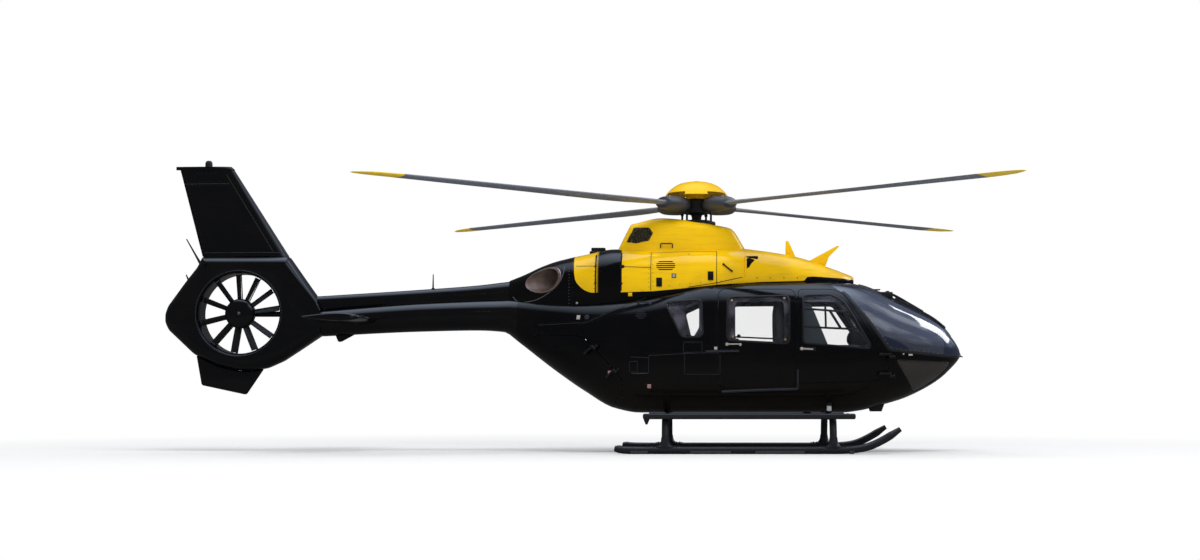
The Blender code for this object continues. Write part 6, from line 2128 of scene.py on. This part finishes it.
def make_one_seat(stem, x, y, forms, scale_y=1.0):
    """The soft parts of a seat, with their sewn edges."""
    for form, size, place_, part in zip(forms, (PAN, BACK, REST), seat_places(x, y, scale_y),
                                        ("pan", "back", "rest")):
        pad = copy_of(form, f"{stem}_{part}")
        pad.data.transform(place_)
        dress(smooth(pad, 60), AIRFRAME, "seat_cloth")
        welts = [welt(form, size, share) for share in (0.55, -0.55)]
        for edge in welts:
            edge.data.transform(place_)
        gather(f"{stem}_{part}_welt", welts, webbing, slot="seat_cloth")


def seat_frame(stem, x, y, width, node_name):
    """The hard part of a seat: floor rails, a base, a pan tray and a back shell."""
    floor = FLOOR_Z + GAP
    pieces = []
    for dy in (-width / 2 + 0.05, width / 2 - 0.05):
        pieces.append(block("rail", (x - 0.05, y + dy - 0.020, floor),
                            (x + 0.34, y + dy + 0.020, floor + 0.022), bevel=0.004))
        for dx in (0.02, 0.27):
            pieces.append(cylinder("leg", (x + dx, y + dy, floor + 0.015),
                                   (x + dx, y + dy, floor + 0.29), 0.016, bevel=0.003))
    pieces.append(block("base", (x + 0.03, y - width / 2 + 0.09, floor + 0.02),
                        (x + 0.26, y + width / 2 - 0.09, floor + 0.24), bevel=0.02))
    pieces.append(block("tray", (x - 0.035, y - width / 2 + 0.01, floor + 0.262),
                        (x + 0.40, y + width / 2 - 0.01, floor + 0.300), bevel=0.012))
    shell = block("shell", (-0.36, -width / 2 + 0.012, 0.038), (0.40, width / 2 - 0.012, 0.054),
                  bevel=0.006)
    leaning = [shell] + [cylinder("post", (0.28, dy, 0.02), (0.40, dy, 0.02), 0.007)
                         for dy in (-0.06, 0.06)]
    turn = Matrix.Rotation(-(math.pi / 2 + LEAN), 4, "Y")
    for piece in leaning:
        piece.data.transform(Matrix.Translation((x - 0.050, y, floor + 0.690)) @ turn)
    made = merged(f"{stem}_frame", pieces + leaning, trim)
    dress(smooth(made), AIRFRAME, "floor_panel", node_name)


def seat_wings(stem, x, y):
    """Side shields of a crew seat's bucket."""
    outline = shifted(((-0.205, 0.930), (0.300, 0.930), (0.290, 1.060), (0.160, 1.330),
                       (-0.030, 1.790), (-0.075, 1.870), (-0.190, 1.880), (-0.225, 1.500)), x, 0)
    outline = rounded(outline, 0.04, 5)
    wings = [eased(prism("wing", outline, y + dy - 0.009, y + dy + 0.009), 0.006)
             for dy in (-0.236, 0.236)]
    gather(f"{stem}_wings", wings, seat_shell, slot="floor_panel")


def bulkhead(name, y):
    """A padded panel with its own head rest, standing behind a crew seat."""
    rings = []
    for z, half, thick in ((FLOOR_Z + GAP, 0.20, 0.045), (FLOOR_Z + 0.05, 0.215, 0.055),
                           (1.30, 0.215, 0.060), (1.62, 0.205, 0.060), (1.76, 0.185, 0.056),
                           (1.825, 0.150, 0.050), (1.850, 0.120, 0.042), (1.890, 0.110, 0.040),
                           (1.915, 0.085, 0.028)):
        lean = 0.03 * (z - 1.3)
        rings.append([(2.572 - lean + thick * squared(math.cos(a), 0.55),
                       y + half * squared(math.sin(a), 0.45), z)
                      for a in circle(48)])
    gather(name, [loft("panel", rings)], trim, slot="floor_panel", angle=50)


def harness(stem, x, y):
    """Two shoulder straps down the back and a lap belt over the pan, with its buckle."""
    floor = FLOOR_Z
    straps = []
    for dy in (-0.075, 0.075):
        path = [(x + along, y + dy * share, floor + up)
                for along, share, up in ((-0.150, 1.0, 1.020), (-0.105, 1.0, 1.030),
                                         (-0.060, 1.0, 0.960), (-0.012, 0.9, 0.760),
                                         (0.038, 0.7, 0.560), (0.110, 0.3, 0.424))]
        straps.append(webbing_strap(path))
    for dy in (-1, 1):
        path = [(x + along, y + dy * across, floor + up)
                for along, across, up in ((0.000, 0.225, 0.320), (0.040, 0.215, 0.392),
                                          (0.100, 0.110, 0.408), (0.135, 0.020, 0.414))]
        straps.append(webbing_strap(path))
    gather(f"{stem}_harness", straps, webbing, slot="seat_cloth")
    buckle = block("buckle", (x + 0.105, y - 0.030, floor + 0.406),
                   (x + 0.165, y + 0.030, floor + 0.428), bevel=0.008)
    gather(f"{stem}_buckle", [buckle], steel, slot="hub_metal")


def make_seats():
    """The two crew seats with the panels behind them, and the rear bench."""
    forms = soft_forms()
    for stem, y in (("pilot_seat", -0.34), ("copilot_seat", 0.34)):
        make_one_seat(stem, 3.02, y, forms)
        seat_frame(stem, 3.02, y, 0.48, stem)
        seat_wings(stem, 3.02, y)
        harness(stem, 3.02, y)
    bulkhead("bulkhead_panel_right", -0.34)
    bulkhead("bulkhead_panel_left", 0.34)
    for i, y in enumerate((-0.376, 0.0, 0.376)):
        make_one_seat(f"rear_seat_{i + 1}", 1.28, y, forms, 0.82)
        harness(f"rear_seat_{i + 1}", 1.28, y)
    seat_frame("rear_seats", 1.28, 0.0, 1.14, "rear_seats")
    for form in forms:
        bpy.data.objects.remove(form)


def make_controls():
    """Dials, screens and hood of the instrument panel, the sticks, levers and pedals."""
    dials, rims = [], []
    x = 3.8995
    for y, z, r in ((-0.36, 1.20, 0.038), (-0.27, 1.20, 0.038), (-0.36, 1.11, 0.030),
                    (-0.27, 1.11, 0.030), (0.27, 1.20, 0.038), (0.36, 1.20, 0.038),
                    (0.27, 1.11, 0.030), (0.36, 1.11, 0.030)):
        dials.append(cylinder("dial", (x + 0.004, y, z), (x - 0.004, y, z), r - 0.004, bevel=0.001))
        path = [Vector((x - 0.003, y + r * math.cos(a), z + r * math.sin(a)))
                for a in circle(28)]
        rims.append(tube("rim", path, 0.004, sides=8, closed=True))
    slant = Matrix.Translation((3.862, 0, 1.155)) @ Matrix.Rotation(math.atan2(0.12, 0.30), 4, "Y")
    screens = []
    for y in (-0.095, 0.095):
        screen_glass = block("screen", (-0.006, y - 0.080, -0.085), (0.010, y + 0.080, 0.085),
                             bevel=0.003)
        screen_glass.data.transform(slant)
        screens.append(screen_glass)
        for row in range(5):
            key = block("key", (-0.012, y + 0.068 - 0.034 * row - 0.010, -0.105),
                        (0.006, y + 0.068 - 0.034 * row + 0.010, -0.092), bevel=0.003)
            key.data.transform(slant)
            screens.append(key)
    gather("instrument_dials", dials + screens, screen_dark, slot="acrylic")
    gather("instrument_rims", rims, steel, slot="hub_metal")
    hood = []
    for x, half, low, high in ((3.450, 0.070, 1.400, 1.470), (3.470, 0.100, 1.370, 1.520),
                               (3.520, 0.130, 1.350, 1.550), (3.600, 0.170, 1.345, 1.545),
                               (3.66, 0.26, 1.340, 1.515), (3.74, 0.36, 1.335, 1.500),
                               (3.86, 0.42, 1.30, 1.490), (4.00, 0.43, 1.26, 1.455),
                               (4.16, 0.42, 1.22, 1.370), (4.27, 0.38, 1.20, 1.280)):
        ring = []
        for a in circle(40):
            across, up = math.cos(a), math.sin(a)
            ring.append((x, half * squared(across, 0.6),
                         (low + high) / 2 + (high - low) / 2 * squared(up, 0.6)))
        hood.append(ring)
    gather("glare_shield", [loft("hood", hood)], trim, slot="floor_panel")
    sticks = []
    floor = FLOOR_Z
    for y in (-0.34, 0.34):
        stem = ((3.62, y, floor - 0.002), (3.60, y, floor + 0.25), (3.52, y, floor + 0.42),
                (3.51, y, floor + 0.56))
        sticks.append(tube("cyclic", rounded_path(stem, 0.08, 6), 0.012, sides=12))
        sticks.append(cylinder("grip", (3.51, y, floor + 0.54), (3.50, y, floor + 0.66), 0.020,
                               bevel=0.008))
        sticks.append(cylinder("boot", (3.62, y, floor - 0.002), (3.62, y, floor + 0.05), 0.050,
                               end_radius=0.016, bevel=0.006))
        lever = ((3.00, y + 0.275, floor + 0.05), (3.20, y + 0.275, floor + 0.20),
                 (3.36, y + 0.275, floor + 0.32))
        sticks.append(tube("collective", lever, 0.013, sides=12))
        sticks.append(cylinder("collective_foot", (3.00, y + 0.275, floor - 0.002),
                               (3.00, y + 0.275, floor + 0.07), 0.024, bevel=0.005))
        for dy in (-0.09, 0.09):
            sticks.append(cylinder("pedal_bar", (3.93, y + dy, floor - 0.002),
                                   (3.90, y + dy, floor + 0.14), 0.010))
            sticks.append(block("pedal", (3.875, y + dy - 0.035, floor + 0.12),
                                (3.895, y + dy + 0.035, floor + 0.20), bevel=0.005))
    gather("flight_controls", sticks, latch_black, slot="floor_panel")


make_camera()
make_lights()
make_stage()
make_body()
make_panes()
make_gaskets()
body = body_solid("body", -GAP)
make_roof_fairing(body)
make_engine_cowls(body)
make_hump()
make_exhausts(body)
bpy.data.objects.remove(body)
make_boom()
make_shroud()
make_fins()
make_stabiliser()
make_tail_fan()
make_rotor()
make_skids()
make_cross_tube("cross_tube_rear", CROSS_TUBES_X[0])
make_cross_tube("cross_tube_front", CROSS_TUBES_X[1])
make_steps()
make_seals()
make_hinges()
make_inner_frames()
make_window_bars()
make_side_details()
make_nose_details()
make_cowl_details()
make_intakes()
make_exhaust_details()
make_tail_details()
make_gear_details()
make_seats()
make_controls()
finish_nodes()

bpy.context.scene.view_settings.view_transform = "Standard"
